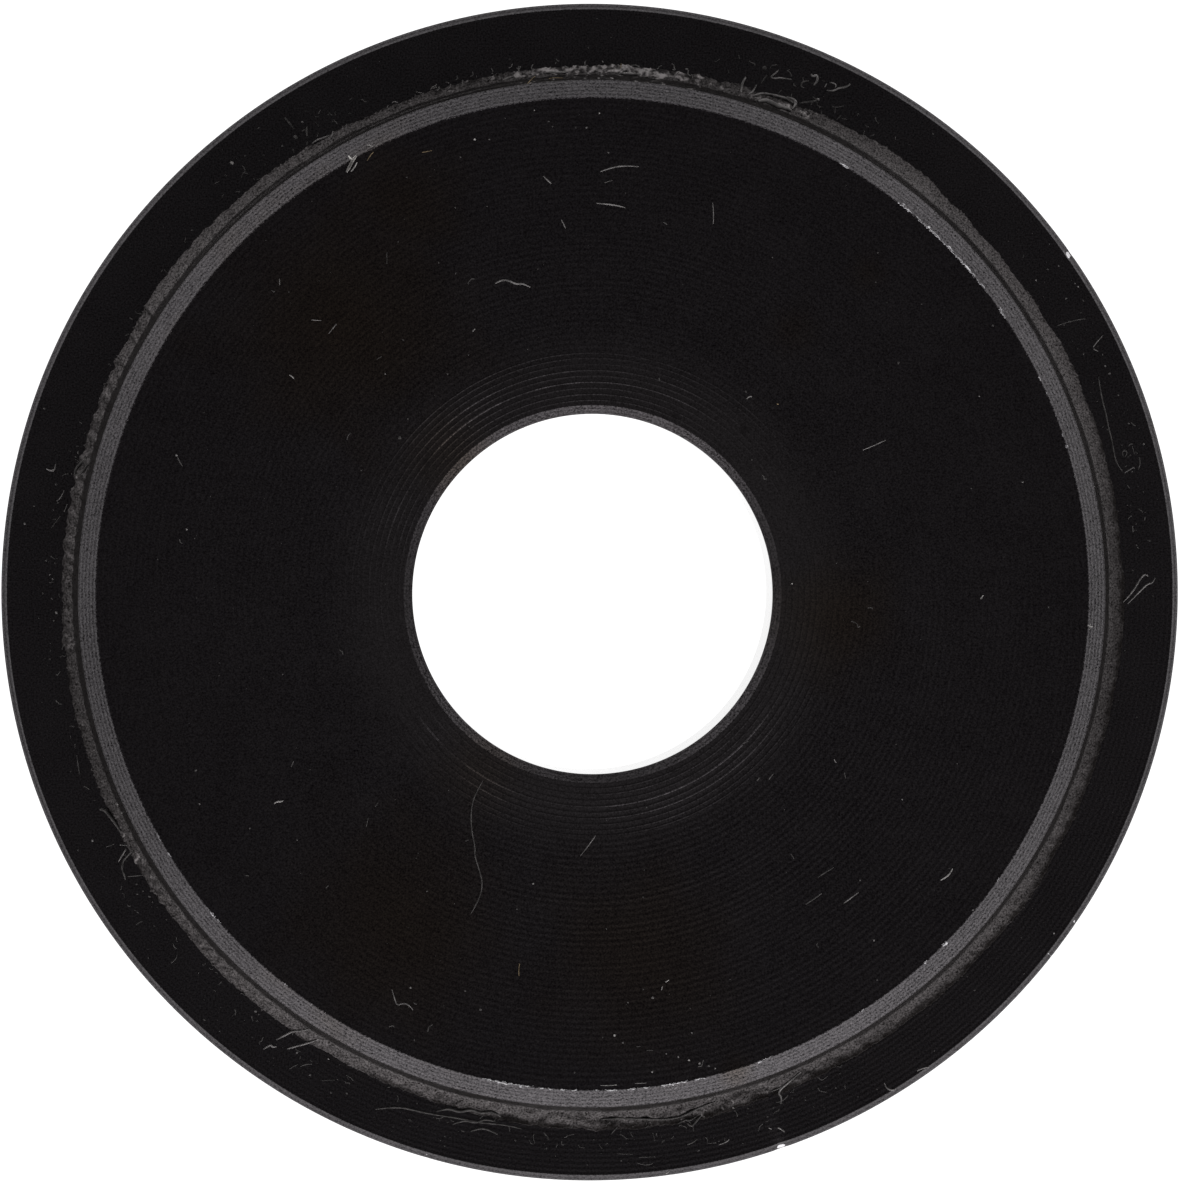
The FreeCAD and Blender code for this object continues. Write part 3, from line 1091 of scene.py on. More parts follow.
@dataclass
class TurnedSkin:
    """The washer's whole surface, turned about Z from one rounded profile.

    Attributes:
        edge_radius: Rounding of its sharp edges, in mm.
        open_side: Where the tool marks are deepest, in degrees clockwise from the picture's right.
        chip_reach: How far a chip spreads over the flange's edge in mm, up to chip_limit.
        chip_wear: How much further than its dent a chip is worn.
        edge_reach: How far the wear of the collar's face edge spreads, in mm.
        edge_wear: How much of that wear the skin shows; the burr shows all of it.
    """

    sizes: WasherSizes
    segments: int = 1440
    edge_radius: float = 0.02
    arc_steps: int = 3
    root_steps: int = 8
    open_side: float = 65.0
    chip_reach: float = 0.16
    chip_limit: float = 0.6
    chip_wear: float = 1.6
    edge_reach: float = 0.03
    edge_wear: float = 0.74
    rings: list[Ring] = field(default_factory=list)

    def corners(self) -> list[tuple[float, float, float, Zone]]:
        """The profile's corners, from the back's inner edge outwards and up.

        Returns:
            Radius, height, rounding and the zone that starts there, all lengths in mm.
        """
        s = self.sizes
        sharp = self.edge_radius
        inner = s.bore_radius + s.bore_chamfer
        return [
            (inner, 0.0, sharp, Zone.BACK),
            (s.flange_radius - s.edge_break, 0.0, sharp, Zone.BACK_BREAK),
            (s.flange_radius, s.edge_break, sharp, Zone.RIM),
            (s.flange_radius, s.flange_thickness - s.edge_break, sharp, Zone.FRONT_BREAK),
            (s.flange_radius - s.edge_break, s.flange_thickness, sharp, Zone.FLANGE),
            (s.collar_radius, s.flange_thickness, s.root_radius, Zone.COLLAR_WALL),
            (s.collar_radius, s.height - s.collar_chamfer, sharp, Zone.COLLAR_CHAMFER),
            (s.face_radius, s.face_level, sharp, Zone.COLLAR_FACE),
            (s.land_radius, s.face_level, 0.0, Zone.BORE_LAND),
            (inner, s.face_level, sharp, Zone.BORE_CHAMFER),
            (s.bore_radius, s.height - s.bore_chamfer, sharp, Zone.BORE),
            (s.bore_radius, s.bore_chamfer, sharp, Zone.BORE_BACK_CHAMFER),
        ]

    def lay(self, at: tuple[float, float], heading: float, zone: Zone) -> None:
        """Lays one ring, and counts the tool's turns from the last one.

        Args:
            at: Its radius and height in mm.
            heading: The direction in which the profile runs on, in radians.
            zone: The surface whose tool marks it carries.
        """
        marks = TOOL_MARKS[zone]
        turn = 0.0
        if self.rings:
            last = self.rings[-1]
            turn = last.turn + math.dist((last.radius, last.height), at) / marks.pitch
        self.rings.append(Ring(at[0], at[1], (math.sin(heading), -math.cos(heading)), turn, marks))

    def lay_arc(self, corner: tuple[float, float], rounding: float, headings: tuple[float, float],
                zones: tuple[Zone, Zone]) -> None:
        """Lays the rings of one rounded corner.

        Args:
            corner: Radius and height of the sharp corner, in mm.
            rounding: Its rounding in mm.
            headings: The direction in which the profile comes in, in radians, and how far it bends.
            zones: The surfaces before and after the corner.
        """
        into, bend = headings
        setback = rounding * math.tan(abs(bend) / 2)
        start = (corner[0] - setback * math.cos(into), corner[1] - setback * math.sin(into))
        signed = math.copysign(rounding, bend)
        steps = self.root_steps if rounding > self.edge_radius else self.arc_steps
        for step in range(steps + 1):
            heading = into + bend * step / steps
            at = (start[0] + signed * (math.sin(heading) - math.sin(into)),
                  start[1] - signed * (math.cos(heading) - math.cos(into)))
            self.lay(at, heading, zones[1] if step > steps / 2 else zones[0])

    def lay_rings(self) -> None:
        """Walks round the profile and lays the rings of every corner and straight run."""
        corners = self.corners()
        count = len(corners)
        for index, (radius, height, rounding, zone) in enumerate(corners):
            before = corners[index - 1]
            after = corners[(index + 1) % count]
            heading_in = math.atan2(height - before[1], radius - before[0])
            heading_out = math.atan2(after[1] - height, after[0] - radius)
            bend = math.remainder(heading_out - heading_in, 2 * math.pi)
            if rounding:
                self.lay_arc((radius, height), rounding, (heading_in, bend), (before[3], zone))
            else:
                self.lay((radius, height), heading_out, zone)
            run = math.dist((radius, height), (after[0], after[1]))
            for extra in EXTRA_RINGS.get(zone, ()):
                along = extra if extra > 0 else run + extra
                at = (radius + along * math.cos(heading_out), height + along * math.sin(heading_out))
                self.lay(at, heading_out, zone)

    def build(self, oxide: bpy.types.Material) -> bpy.types.Object:
        """Makes the skin's mesh, its exact normals and its attributes.

        Args:
            oxide: The washer's material.

        Returns:
            The finished piece, which stands for the solid.
        """
        self.lay_rings()
        angles = even_angles(self.segments)
        radius = np.array([ring.radius for ring in self.rings])[:, None]
        height = np.array([ring.height for ring in self.rings])[:, None]
        out = np.array([ring.normal[0] for ring in self.rings])[:, None]
        up = np.array([ring.normal[1] for ring in self.rings])[:, None]
        dents, wear = self.knocks(angles)
        points = turned(radius - out * dents, height - up * dents, angles)
        along = np.concatenate([[0.0], np.hypot(np.diff(radius[:, 0]), np.diff(height[:, 0]))]).cumsum()
        down_profile = np.gradient(dents, along, axis=0)
        down_round = np.gradient(dents, 2 * math.pi / self.segments, axis=1) / radius
        out_bent = out - down_profile * up
        up_bent = up + down_profile * out
        normals = np.stack([out_bent * np.cos(angles) - down_round * np.sin(angles),
                            out_bent * np.sin(angles) + down_round * np.cos(angles), up_bent], axis=-1)
        skin = ring_mesh("washer_skin", points)
        skin.normals_split_custom_set_from_vertices(normals.reshape(-1, 3).tolist())
        store(skin, "turn", np.repeat([ring.turn for ring in self.rings], self.segments))
        for name in MARK_VALUES:
            store(skin, name, np.repeat([getattr(ring.marks, name) for ring in self.rings], self.segments))
        turned_away = 0.5 - 0.5 * np.cos(np.radians(apart(angles, self.open_side)))
        depths = [ring.marks.depth * (1 - ring.marks.fade * turned_away) for ring in self.rings]
        store(skin, "depth", np.concatenate(depths))
        store(skin, "wear", wear.ravel())
        return settle("washer_skin", skin, oxide, NODE)

    def knocks(self, angles: np.ndarray) -> tuple[np.ndarray, np.ndarray]:
        """Chips of the flange's front edge, and where the oxide is worn.

        Args:
            angles: The angle of each segment in radians.

        Returns:
            Depth in mm and wear from 0 to 1, for every ring and segment.
        """
        s = self.sizes
        edge = (s.flange_radius - s.edge_break / 2, s.flange_thickness - s.edge_break / 2)
        dents = np.zeros((len(self.rings), len(angles)))
        wear = np.zeros_like(dents)
        for index, ring in enumerate(self.rings):
            at = (ring.radius, ring.height)
            if math.dist(at, edge) < self.chip_limit:
                closeness = math.exp(-(math.dist(at, edge) / self.chip_reach) ** 2)
                for chip in RIM_CHIPS:
                    away = np.radians(apart(angles, chip.clockwise)) * s.flange_radius
                    shape = np.exp(-(away / chip.span) ** 2) * closeness
                    dents[index] += chip.depth * shape
                    bare = chip.wear * np.minimum(1.0, self.chip_wear * shape)
                    wear[index] = np.maximum(wear[index], bare)
            if math.dist(at, (s.face_radius, s.face_level)) < self.edge_reach:
                wear[index] = self.edge_wear * burr_wear(angles)
        return dents, wear


@dataclass
class EdgeBurr:
    """The thin ragged lip that the chamfering tool rolled up round the collar's face.

    Attributes:
        width: Half the width of its section in mm, and rise is half its height.
        lean: How its section leans outwards, in degrees.
        inset: From the face's edge in to its middle in mm, and sunk is how deep that lies.
        wander: How far its middle strays in mm, by a quick noise and a share of a slow one.
        thickness: Its mean thickness as a share of the section, which a rough noise changes too.
        worn_from: The wear from which it is thicker, over worn_span more, by worn_more in the end.
    """

    sizes: WasherSizes
    segments: int = 4320
    steps: int = 6
    width: float = 0.021
    rise: float = 0.015
    lean: float = -22.5
    inset: float = 0.004
    sunk: float = 0.002
    wander: float = 0.009
    wander_slow: float = 0.6
    quick: RingNoise = RingNoise(seed=21, lowest=300, highest=1100, falloff=0.2)
    slow: RingNoise = RingNoise(seed=22, lowest=60, highest=400, falloff=0.4)
    rough: RingNoise = RingNoise(seed=23, lowest=400, highest=1600, falloff=0.1, amount=0.30)
    thickness: float = 0.75
    thickness_slow: float = 0.35
    thickness_range: tuple[float, float] = (0.15, 2.0)
    worn_from: float = 0.45
    worn_span: float = 0.3
    worn_more: float = 0.5

    def build(self, oxide: bpy.types.Material) -> bpy.types.Object:
        """Makes the lip as a closed ring, half of which is sunk in the washer's edge.

        Args:
            oxide: The washer's material.

        Returns:
            The piece.
        """
        angles = even_angles(self.segments)
        wear = burr_wear(angles)
        slow = self.slow.at(angles)
        uneven = self.thickness + self.thickness_slow * slow + self.rough.at(angles)
        swell = np.clip(uneven, *self.thickness_range)
        swell *= 1 + self.worn_more * smooth_step((wear - self.worn_from) / self.worn_span)
        straying = self.wander * (self.quick.at(angles) + self.wander_slow * slow)
        middle = self.sizes.face_radius - self.inset + straying
        around = even_angles(self.steps)[:, None]
        lean = math.radians(self.lean)
        across = self.width * swell * np.cos(around)
        above = self.rise * swell * np.sin(around)
        radii = middle + across * math.cos(lean) - above * math.sin(lean)
        heights = self.sizes.face_level - self.sunk + across * math.sin(lean) + above * math.cos(lean)
        heights = np.minimum(heights, self.sizes.height)
        lip = ring_mesh("edge_burr", turned(radii, heights, angles))
        store(lip, "wear", np.tile(wear, self.steps))
        marks = TOOL_MARKS[Zone.COLLAR_CHAMFER]
        for name in ("depth", *MARK_VALUES):
            store(lip, name, np.full(self.steps * self.segments, getattr(marks, name)))
        store(lip, "turn", np.zeros(self.steps * self.segments))
        return settle("edge_burr", lip, oxide)


@dataclass
class OilBead:
    """The bead of old oil that climbs from the flange to the collar's wall.

    A share of the bead is measured from its outer foot, 0, to the wall, 1. Widths, lengths, heights
    and the strayings of its foot and of the line where it steepens are in mm.

    Attributes:
        foot_flatness: How much flatter than the rest a soft foot is.
        foot_fall: How that flatness falls off, as a power.
        wall_reach: How far from the wall the bead gets steeper.
        wall_side: Where that is furthest from the wall, in degrees clockwise, by wall_swing more.
        ledge_drop: How much less steep the bead is on the ledge.
        body_rate: How fast lumps, folds and twist come up from the foot.
        twists: Strands of its twist round the washer.
        twist_slant: How they slant, in radians for each mm.
        sunk: How deep its hidden sides lie in the steel.
        film: How thin its edge usually looks, from 0 to 1.
        reach: How far each point lies from the wall.
        rise: How far each point stands over the flange.
    """

    sizes: WasherSizes
    segments: int = 2880
    steps: int = 22
    width: float = 0.60
    slow_edge: RingNoise = RingNoise(seed=11, lowest=5, highest=16, falloff=0.5, amount=0.012)
    ragged_edge: RingNoise = RingNoise(seed=12, lowest=20, highest=90, falloff=0.5, amount=0.018)
    loose_edge: RingNoise = RingNoise(seed=19, lowest=70, highest=240, falloff=0.3)
    bristles: RingNoise = RingNoise(seed=14, lowest=500, highest=1100, falloff=0.1)
    bristle_length: float = 0.011
    fringe: RingNoise = RingNoise(seed=13, lowest=180, highest=420, falloff=0.3, amount=0.010)
    fringe_share: float = 0.06
    softness: float = 0.18
    foot_flatness: float = 0.66
    foot_share: float = 0.75
    foot_fall: float = 0.9
    foot_slope: float = 0.95
    wall_slope: float = 1.6
    wall_reach: float = 0.235
    wall_side: float = 30.0
    wall_swing: float = 0.030
    wall_line: RingNoise = RingNoise(seed=17, lowest=12, highest=60, falloff=0.4, amount=0.008)
    wall_blend: float = 0.10
    ledge: float = 0.45
    ledge_drop: float = 1.85
    ledge_middle: float = 0.13
    ledge_width: float = 0.020
    lumpiness: float = 0.45
    lump_height: float = 0.009
    lumps: WaveField = WaveField(seed=15, shortest=0.16, longest=0.60)
    folds: WaveField = WaveField(seed=16, shortest=0.45, longest=1.50)
    body_rate: float = 1.4
    twists: int = 238
    twist_slant: float = 9.0
    twist_stray: RingNoise = RingNoise(seed=18, lowest=8, highest=110, falloff=0.3, amount=0.9)
    sunk: float = 0.03
    film: float = 0.38
    film_share: float = 0.48
    dust: float = 0.30
    dust_drop: float = 0.26
    dust_from: float = 0.34
    dust_span: float = 0.26
    reach: np.ndarray = field(default_factory=lambda: np.zeros((0, 0)))
    rise: np.ndarray = field(default_factory=lambda: np.zeros((0, 0)))

    def outreach(self, angles: np.ndarray) -> np.ndarray:
        """How far the bead reaches from the collar's wall, in mm, at each angle."""
        width = swelling(angles, self.width, BEAD_WIDTHS)
        width += self.slow_edge.at(angles)
        width += self.ragged_edge.at(angles)
        width += swelling(angles, 0.0, BEAD_LOOSENESS) * self.loose_edge.at(angles)
        return width

    def slopes(self, angles: np.ndarray, shares: np.ndarray, even: np.ndarray) -> np.ndarray:
        """How steep the bead is before lumps, folds and twist are laid on it.

        Args:
            angles: The angle of each segment in radians.
            shares: The share of each ring.
            even: How far each point lies from the wall, in mm, without bristles.

        Returns:
            Rise for each mm towards the wall, for every ring and segment.
        """
        fall = np.clip(1 - shares / self.foot_share, 0.0, 1.0) ** self.foot_fall
        flat_foot = self.foot_flatness * swelling(angles, self.softness, BEAD_SOFTNESS) * fall
        slope = swelling(angles, self.foot_slope, BEAD_STEEPNESS) * (1 - flat_foot)
        swing = self.wall_swing * np.cos(np.radians(apart(angles, self.wall_side)))
        near_wall = self.wall_reach + swing - even + self.wall_line.at(angles)
        slope += self.wall_slope * smooth_step((near_wall + self.wall_blend / 2) / self.wall_blend)
        on_ledge = np.exp(-((even - self.ledge_middle) / self.ledge_width) ** 2)
        return slope - self.ledge_drop * swelling(angles, self.ledge, BEAD_LEDGE) * on_ledge

    def shape(self) -> None:
        """Works out the bead's surface: reach from the wall and rise over the flange, in mm."""
        radius = self.sizes.collar_radius
        angles = even_angles(self.segments)
        shares = (np.arange(self.steps + 1) / self.steps)[:, None]
        even = self.outreach(angles) * (1 - shares)
        bristles = self.bristle_length * np.maximum(self.bristles.at(angles), 0.0) ** 2
        bristles += self.fringe.at(angles)
        self.reach = even + bristles * np.exp(-(shares / self.fringe_share) ** 2)
        slope = self.slopes(angles, shares, even)
        climbed = 0.5 * (slope[1:] + slope[:-1]) * -np.diff(even, axis=0)
        self.rise = np.vstack([np.zeros(self.segments), np.cumsum(climbed, axis=0)])
        body = np.sin(math.pi * np.clip(shares * self.body_rate, 0.0, 1.0))
        lumps = self.lump_height * swelling(angles, self.lumpiness, BEAD_LUMPS) * body
        self.rise += lumps * self.lumps.at(radius, angles, self.reach)
        folds = swelling(angles, 0.0, BEAD_FOLDS) * body
        self.rise += folds * self.folds.at(radius, angles, self.reach)
        strand = self.twists * angles + self.twist_stray.at(angles) + self.twist_slant * self.reach
        self.rise += swelling(angles, 0.0, BEAD_TWIST) * body * np.cos(strand)

    def height(self, x: float, y: float) -> float:
        """Height of the bead over the flange at a spot, in mm; nothing beside it."""
        column = round(math.atan2(y, x) / (2 * math.pi) * self.segments) % self.segments
        away = math.hypot(x, y) - self.sizes.collar_radius
        if away > self.reach[0, column]:
            return 0.0
        return float(np.interp(away, self.reach[::-1, column], self.rise[::-1, column]))

    def build(self, finish: OilFilm) -> bpy.types.Object:
        """Makes the bead as a closed ring whose hidden sides lie just inside the steel.

        Args:
            finish: What the oil looks like.

        Returns:
            The piece.
        """
        self.shape()
        angles = even_angles(self.segments)
        wall, front = self.sizes.collar_radius, self.sizes.flange_thickness
        inside = np.full_like(angles, wall - self.sunk)
        below = np.full_like(angles, front - self.sunk)
        radii = np.vstack([wall + self.reach, inside, inside, wall + self.reach[0]])
        heights = np.vstack([front + self.rise, front + self.rise[-1], below, below])
        mesh = ring_mesh("oil_bead", turned(radii, heights, angles))
        shares = (np.arange(len(radii)) / self.steps)[:, None]
        thin = np.clip(1 - shares / self.film_share, 0.0, 1.0)
        store(mesh, "edge", (thin * swelling(angles, self.film, BEAD_SOFTNESS)).ravel())
        outside = 1.0 - self.dust_drop * smooth_step((shares - self.dust_from) / self.dust_span)
        store(mesh, "dust", (swelling(angles, self.dust, BEAD_DUST) * outside).ravel())
        # Painted highlight and shade by side, which scales how strongly the oil reflects.
        store(mesh, "gleam", np.tile(swelling(angles, 1.0, BEAD_PAINTED_GLEAM), len(radii)))
        return settle("oil_bead", mesh, finish.material())


@dataclass
class Ground:
    """The washer's upper surface with the bead on it, as a height over every spot."""

    sizes: WasherSizes
    bead: OilBead

    def height(self, x: float, y: float) -> float:
        """Height of the surface in mm over a spot in mm."""
        s = self.sizes
        radius = math.hypot(x, y)
        if radius < s.face_radius:
            return s.face_level
        if radius < s.collar_radius:
            return s.face_level - (radius - s.face_radius)
        past_edge = max(0.0, radius - (s.flange_radius - s.edge_break))
        return s.flange_thickness + self.bead.height(x, y) - past_edge


@dataclass(frozen=True)
class Fibre:
    """One fibre of lint, or a scratch, traced in the picture.

    Attributes:
        tone: How bright it looks.
        width: Its width in the picture, in pixels.
        path: Its points, in pixels of the picture.
    """

    tone: Tone
    width: float
    path: tuple[tuple[float, float], ...]


FIBRES: tuple[Fibre, ...] = (
    # Lint at the upper right of the flange.
    Fibre(Tone.GREY, 2.4, ((740.4, 92.5), (740.6, 86.5), (742.4, 81.5), (745.3, 77.0))),
    Fibre(Tone.GREY, 1.7, ((746.6, 95.6), (749.5, 93.5), (753.6, 89.8), (755.7, 84.8))),
    Fibre(Tone.FAINT, 1.8, ((760.3, 83.6), (762.8, 78.2), (766.5, 75.3))),
    Fibre(Tone.GREY, 1.5, ((778.1, 69.9), (774.8, 73.2), (769.0, 77.2), (774.8, 78.6), (779.8, 77.4),
                           (783.9, 78.6), (790.9, 79.2))),
    Fibre(Tone.FAINT, 1.8, ((808.4, 80.7), (803.0, 81.1), (800.5, 83.2), (800.5, 87.3), (803.8, 87.7))),
    Fibre(Tone.FAINT, 1.5, ((802.1, 77.4), (802.8, 81.0))),
    Fibre(Tone.GREY, 2.3, ((810.4, 74.0), (812.0, 76.8), (815.8, 74.4), (817.1, 78.2), (815.8, 82.3),
                           (812.9, 85.2))),
    Fibre(Tone.FAINT, 1.6, ((821.2, 80.3), (824.5, 81.1))),
    Fibre(Tone.GREY, 1.5, ((826.2, 83.2), (824.1, 86.9))),
    Fibre(Tone.GREY, 1.4, ((829.1, 82.3), (833.6, 82.8), (835.7, 85.7), (834.5, 87.3))),
    Fibre(Tone.GREY, 1.8, ((826.2, 90.2), (832.8, 91.0), (837.0, 88.1), (847.7, 86.5), (849.4, 83.6))),
    Fibre(Tone.GREY, 2.2, ((752.0, 96.0), (756.0, 94.8), (759.9, 93.1), (769.8, 93.9), (779.8, 96.4),
                           (786.4, 98.1), (789.7, 100.6), (795.5, 103.9))),
    Fibre(Tone.GREY, 3.0, ((786.0, 96.8), (793.0, 98.9), (796.3, 103.1), (791.4, 108.9))),
    Fibre(Tone.GREY, 4.5, ((757.4, 101.4), (763.2, 99.8), (769.8, 101.8), (776.4, 106.0), (783.9, 107.2),
                           (790.5, 110.5))),
    Fibre(Tone.FAINT, 1.6, ((778.1, 93.1), (780.6, 89.8))),
    Fibre(Tone.FAINT, 1.5, ((790.5, 96.4), (791.4, 93.1))),
    Fibre(Tone.FAINT, 2.2, ((798.8, 103.1), (806.3, 101.8), (812.9, 101.8), (817.3, 98.9))),
    Fibre(Tone.FAINT, 1.5, ((804.6, 108.0), (809.6, 113.9))),
    Fibre(Tone.FAINT, 1.5, ((834.5, 108.0), (834.1, 113.0))),
    Fibre(Tone.FAINT, 1.5, ((839.9, 115.5), (836.1, 119.7))),
    # Long strand and curls at the right.
    Fibre(Tone.FAINT, 1.5, ((1098.3, 376.3), (1100.5, 394.7), (1105.9, 414.3), (1108.6, 429.0),
                            (1110.8, 436.0), (1113.5, 451.1), (1116.0, 463.0), (1122.2, 470.7))),
    Fibre(Tone.FAINT, 1.3, ((1057.1, 325.3), (1071.2, 319.9), (1085.3, 318.2))),
    Fibre(Tone.GREY, 1.2, ((1092.9, 347.0), (1097.0, 340.5), (1102.7, 335.1))),
    Fibre(Tone.GREY, 1.6, ((1093.4, 348.4), (1097.8, 351.2))),
    Fibre(Tone.FAINT, 1.5, ((1123.0, 455.5), (1121.4, 451.6), (1125.0, 449.4), (1127.4, 453.0),
                            (1124.6, 456.6))),
    Fibre(Tone.FAINT, 1.3, ((1132.0, 445.9), (1134.3, 453.6))),
    Fibre(Tone.GREY, 1.2, ((1124.6, 472.4), (1129.0, 469.6), (1134.3, 466.6))),
    Fibre(Tone.FAINT, 1.4, ((1138.9, 456.6), (1141.2, 462.8), (1138.2, 468.9))),
    Fibre(Tone.GREY, 1.6, ((1132.6, 525.5), (1132.9, 531.6))),
    Fibre(Tone.GREY, 1.8, ((1122.9, 602.0), (1132.0, 592.9), (1139.7, 579.1), (1145.1, 573.0),
                           (1148.1, 576.0))),
    Fibre(Tone.GREY, 1.6, ((1127.5, 603.6), (1139.7, 591.3), (1147.3, 583.7), (1153.5, 582.2),
                           (1155.0, 577.6))),
    Fibre(Tone.BRIGHT, 1.2, ((1087.2, 624.6), (1090.0, 627.4), (1092.4, 626.6))),
    Fibre(Tone.BRIGHT, 1.0, ((1090.0, 623.4), (1089.4, 629.8))),
    # Flake that stands off the collar's face edge.
    Fibre(Tone.METAL, 3.0, ((356.5, 156.4), (353.6, 159.4), (351.2, 164.0), (349.2, 168.0),
                            (346.6, 172.7))),
    Fibre(Tone.METAL, 2.4, ((348.8, 156.6), (350.6, 159.0), (352.4, 161.4))),
    Fibre(Tone.BRIGHT, 1.6, ((357.0, 163.0), (355.0, 168.0), (351.0, 172.0))),
    # Lint at the upper left.
    Fibre(Tone.FAINT, 2.2, ((284.6, 117.6), (289.9, 123.7), (293.8, 129.1))),
    Fibre(Tone.FAINT, 2.4, ((306.8, 126.8), (306.0, 132.1), (307.5, 136.7))),
    Fibre(Tone.FAINT, 2.0, ((307.2, 141.7), (306.8, 145.1))),
    Fibre(Tone.GREY, 2.0, ((312.1, 143.6), (316.7, 139.8), (323.6, 138.3), (329.7, 135.2))),
    Fibre(Tone.GREY, 2.2, ((332.8, 131.4), (332.4, 135.0), (330.6, 138.6))),
    Fibre(Tone.FAINT, 1.8, ((318.3, 132.9), (316.9, 137.0))),
    Fibre(Tone.BRIGHT, 1.3, ((367.2, 145.9), (371.0, 145.1), (373.3, 148.6))),
    Fibre(Tone.TAN, 1.2, ((373.3, 152.8), (369.5, 156.6), (367.2, 161.2))),
    # Loop and strands at the left.
    Fibre(Tone.FAINT, 2.4, ((86.5, 457.0), (79.5, 462.5), (74.8, 470.5), (75.6, 475.6), (82.0, 472.0),
                            (88.0, 464.0))),
    Fibre(Tone.GREY, 1.3, ((64.2, 489.7), (61.7, 497.4), (57.0, 500.6))),
    Fibre(Tone.GREY, 1.4, ((67.4, 503.8), (64.2, 511.4))),
    Fibre(Tone.FAINT, 1.3, ((60.4, 515.3), (51.5, 527.4))),
    Fibre(Tone.GREY, 1.8, ((46.4, 468.2), (51.0, 470.4), (55.3, 469.6), (56.0, 463.4))),
    # Rope and strands at the lower left.
    Fibre(Tone.FAINT, 3.4, ((99.3, 808.8), (103.5, 807.6), (109.1, 814.4), (114.7, 821.4), (120.5, 830.4))),
    Fibre(Tone.FAINT, 1.5, ((76.8, 754.0), (78.2, 765.3), (79.6, 773.7))),
    Fibre(Tone.FAINT, 2.0, ((83.9, 784.9), (89.5, 788.4))),
    Fibre(Tone.FAINT, 1.4, ((106.3, 845.9), (114.0, 843.1))),
    Fibre(Tone.GREY, 1.6, ((119.6, 843.8), (127.3, 844.5))),
    Fibre(Tone.GREY, 1.7, ((125.9, 848.0), (121.7, 855.1), (118.2, 860.7))),
    Fibre(Tone.FAINT, 1.9, ((133.0, 849.4), (124.5, 857.2), (121.7, 863.5), (122.4, 870.5),
                            (124.5, 874.7), (125.2, 878.9))),
    Fibre(Tone.FAINT, 1.4, ((127.3, 875.4), (135.0, 875.2), (142.8, 874.0))),
    Fibre(Tone.GREY, 1.8, ((275.5, 1039.1), (283.2, 1035.3), (292.1, 1030.2), (301.0, 1030.2),
                           (308.7, 1027.6))),
    Fibre(Tone.GREY, 1.8, ((287.0, 1048.0), (298.5, 1044.8), (310.0, 1041.6), (318.9, 1037.8))),
    Fibre(Tone.GREY, 2.0, ((262.8, 1048.6), (267.0, 1045.6), (270.4, 1043.6), (272.0, 1046.4),
                           (275.8, 1045.8))),
    Fibre(Tone.FAINT, 1.4, ((299.7, 1065.9), (306.1, 1062.7), (311.2, 1063.3))),
    Fibre(Tone.FAINT, 1.3, ((321.4, 1079.9), (334.2, 1079.3))),
    # Strands along the bottom.
    Fibre(Tone.FAINT, 1.8, ((375.0, 1108.6), (395.4, 1106.0), (409.4, 1108.6), (430.0, 1113.5),
                            (455.0, 1117.0), (480.0, 1122.5), (505.0, 1124.0), (521.0, 1128.5))),
    Fibre(Tone.FAINT, 2.2, ((600.0, 1119.0), (612.8, 1117.8), (630.6, 1117.8), (648.5, 1119.0),
                            (666.3, 1119.0), (681.6, 1116.5), (696.9, 1107.6), (714.8, 1101.2))),
    Fibre(Tone.FAINT, 1.8, ((770.0, 1091.5), (776.0, 1089.7), (787.5, 1083.3), (795.0, 1077.0))),
    Fibre(Tone.FAINT, 2.6, ((436.0, 1111.0), (447.0, 1107.0), (459.0, 1112.0), (470.0, 1108.5),
                            (481.0, 1113.0), (492.0, 1110.0), (500.0, 1116.0))),
    Fibre(Tone.FAINT, 2.0, ((452.0, 1124.0), (463.0, 1119.0), (475.0, 1123.0), (486.0, 1118.0),
                            (497.0, 1122.0))),
    Fibre(Tone.FAINT, 2.2, ((470.0, 1131.0), (480.0, 1127.0), (490.0, 1130.0), (497.0, 1134.0))),
    Fibre(Tone.FAINT, 2.0, ((696.0, 1116.0), (690.0, 1121.0), (684.0, 1119.0), (677.0, 1124.0))),
    Fibre(Tone.FAINT, 1.6, ((616.6, 1126.7), (610.2, 1134.3))),
    Fibre(Tone.FAINT, 1.6, ((608.9, 1121.6), (605.1, 1126.0))),
    Fibre(Tone.FAINT, 2.0, ((647.8, 1125.4), (644.6, 1127.6))),
    Fibre(Tone.FAINT, 2.4, ((686.7, 1122.9), (690.6, 1127.3), (695.7, 1120.9), (700.8, 1115.2))),
    Fibre(Tone.FAINT, 2.0, ((787.5, 1094.8), (783.7, 1101.2), (776.0, 1102.4))),
    Fibre(Tone.FAINT, 1.7, ((686.7, 1144.5), (693.1, 1142.6), (696.9, 1138.8))),
    Fibre(Tone.FAINT, 1.6, ((707.1, 1143.3), (716.1, 1142.6))),
    Fibre(Tone.GREY, 1.5, ((718.6, 1144.5), (725.0, 1143.3), (728.8, 1139.4))),
    Fibre(Tone.BRIGHT, 1.4, ((768.4, 1128.0), (771.4, 1129.4))),
    Fibre(Tone.BRIGHT, 1.6, ((777.6, 1127.6), (781.0, 1129.2), (784.2, 1132.0))),
    Fibre(Tone.GREY, 2.0, ((800.0, 1072.0), (788.0, 1082.0), (777.0, 1092.0), (782.0, 1098.0),
                           (780.0, 1104.0))),
    Fibre(Tone.GREY, 1.4, ((884.0, 1083.0), (886.0, 1088.5), (891.0, 1090.6), (895.0, 1089.6))),
    Fibre(Tone.GREY, 1.6, ((917.0, 1071.0), (923.0, 1067.8), (929.0, 1067.4))),
    Fibre(Tone.BRIGHT, 1.2, ((665.7, 1173.9), (668.9, 1171.3))),
    Fibre(Tone.FAINT, 1.3, ((638.3, 1157.3), (654.8, 1156.6))),
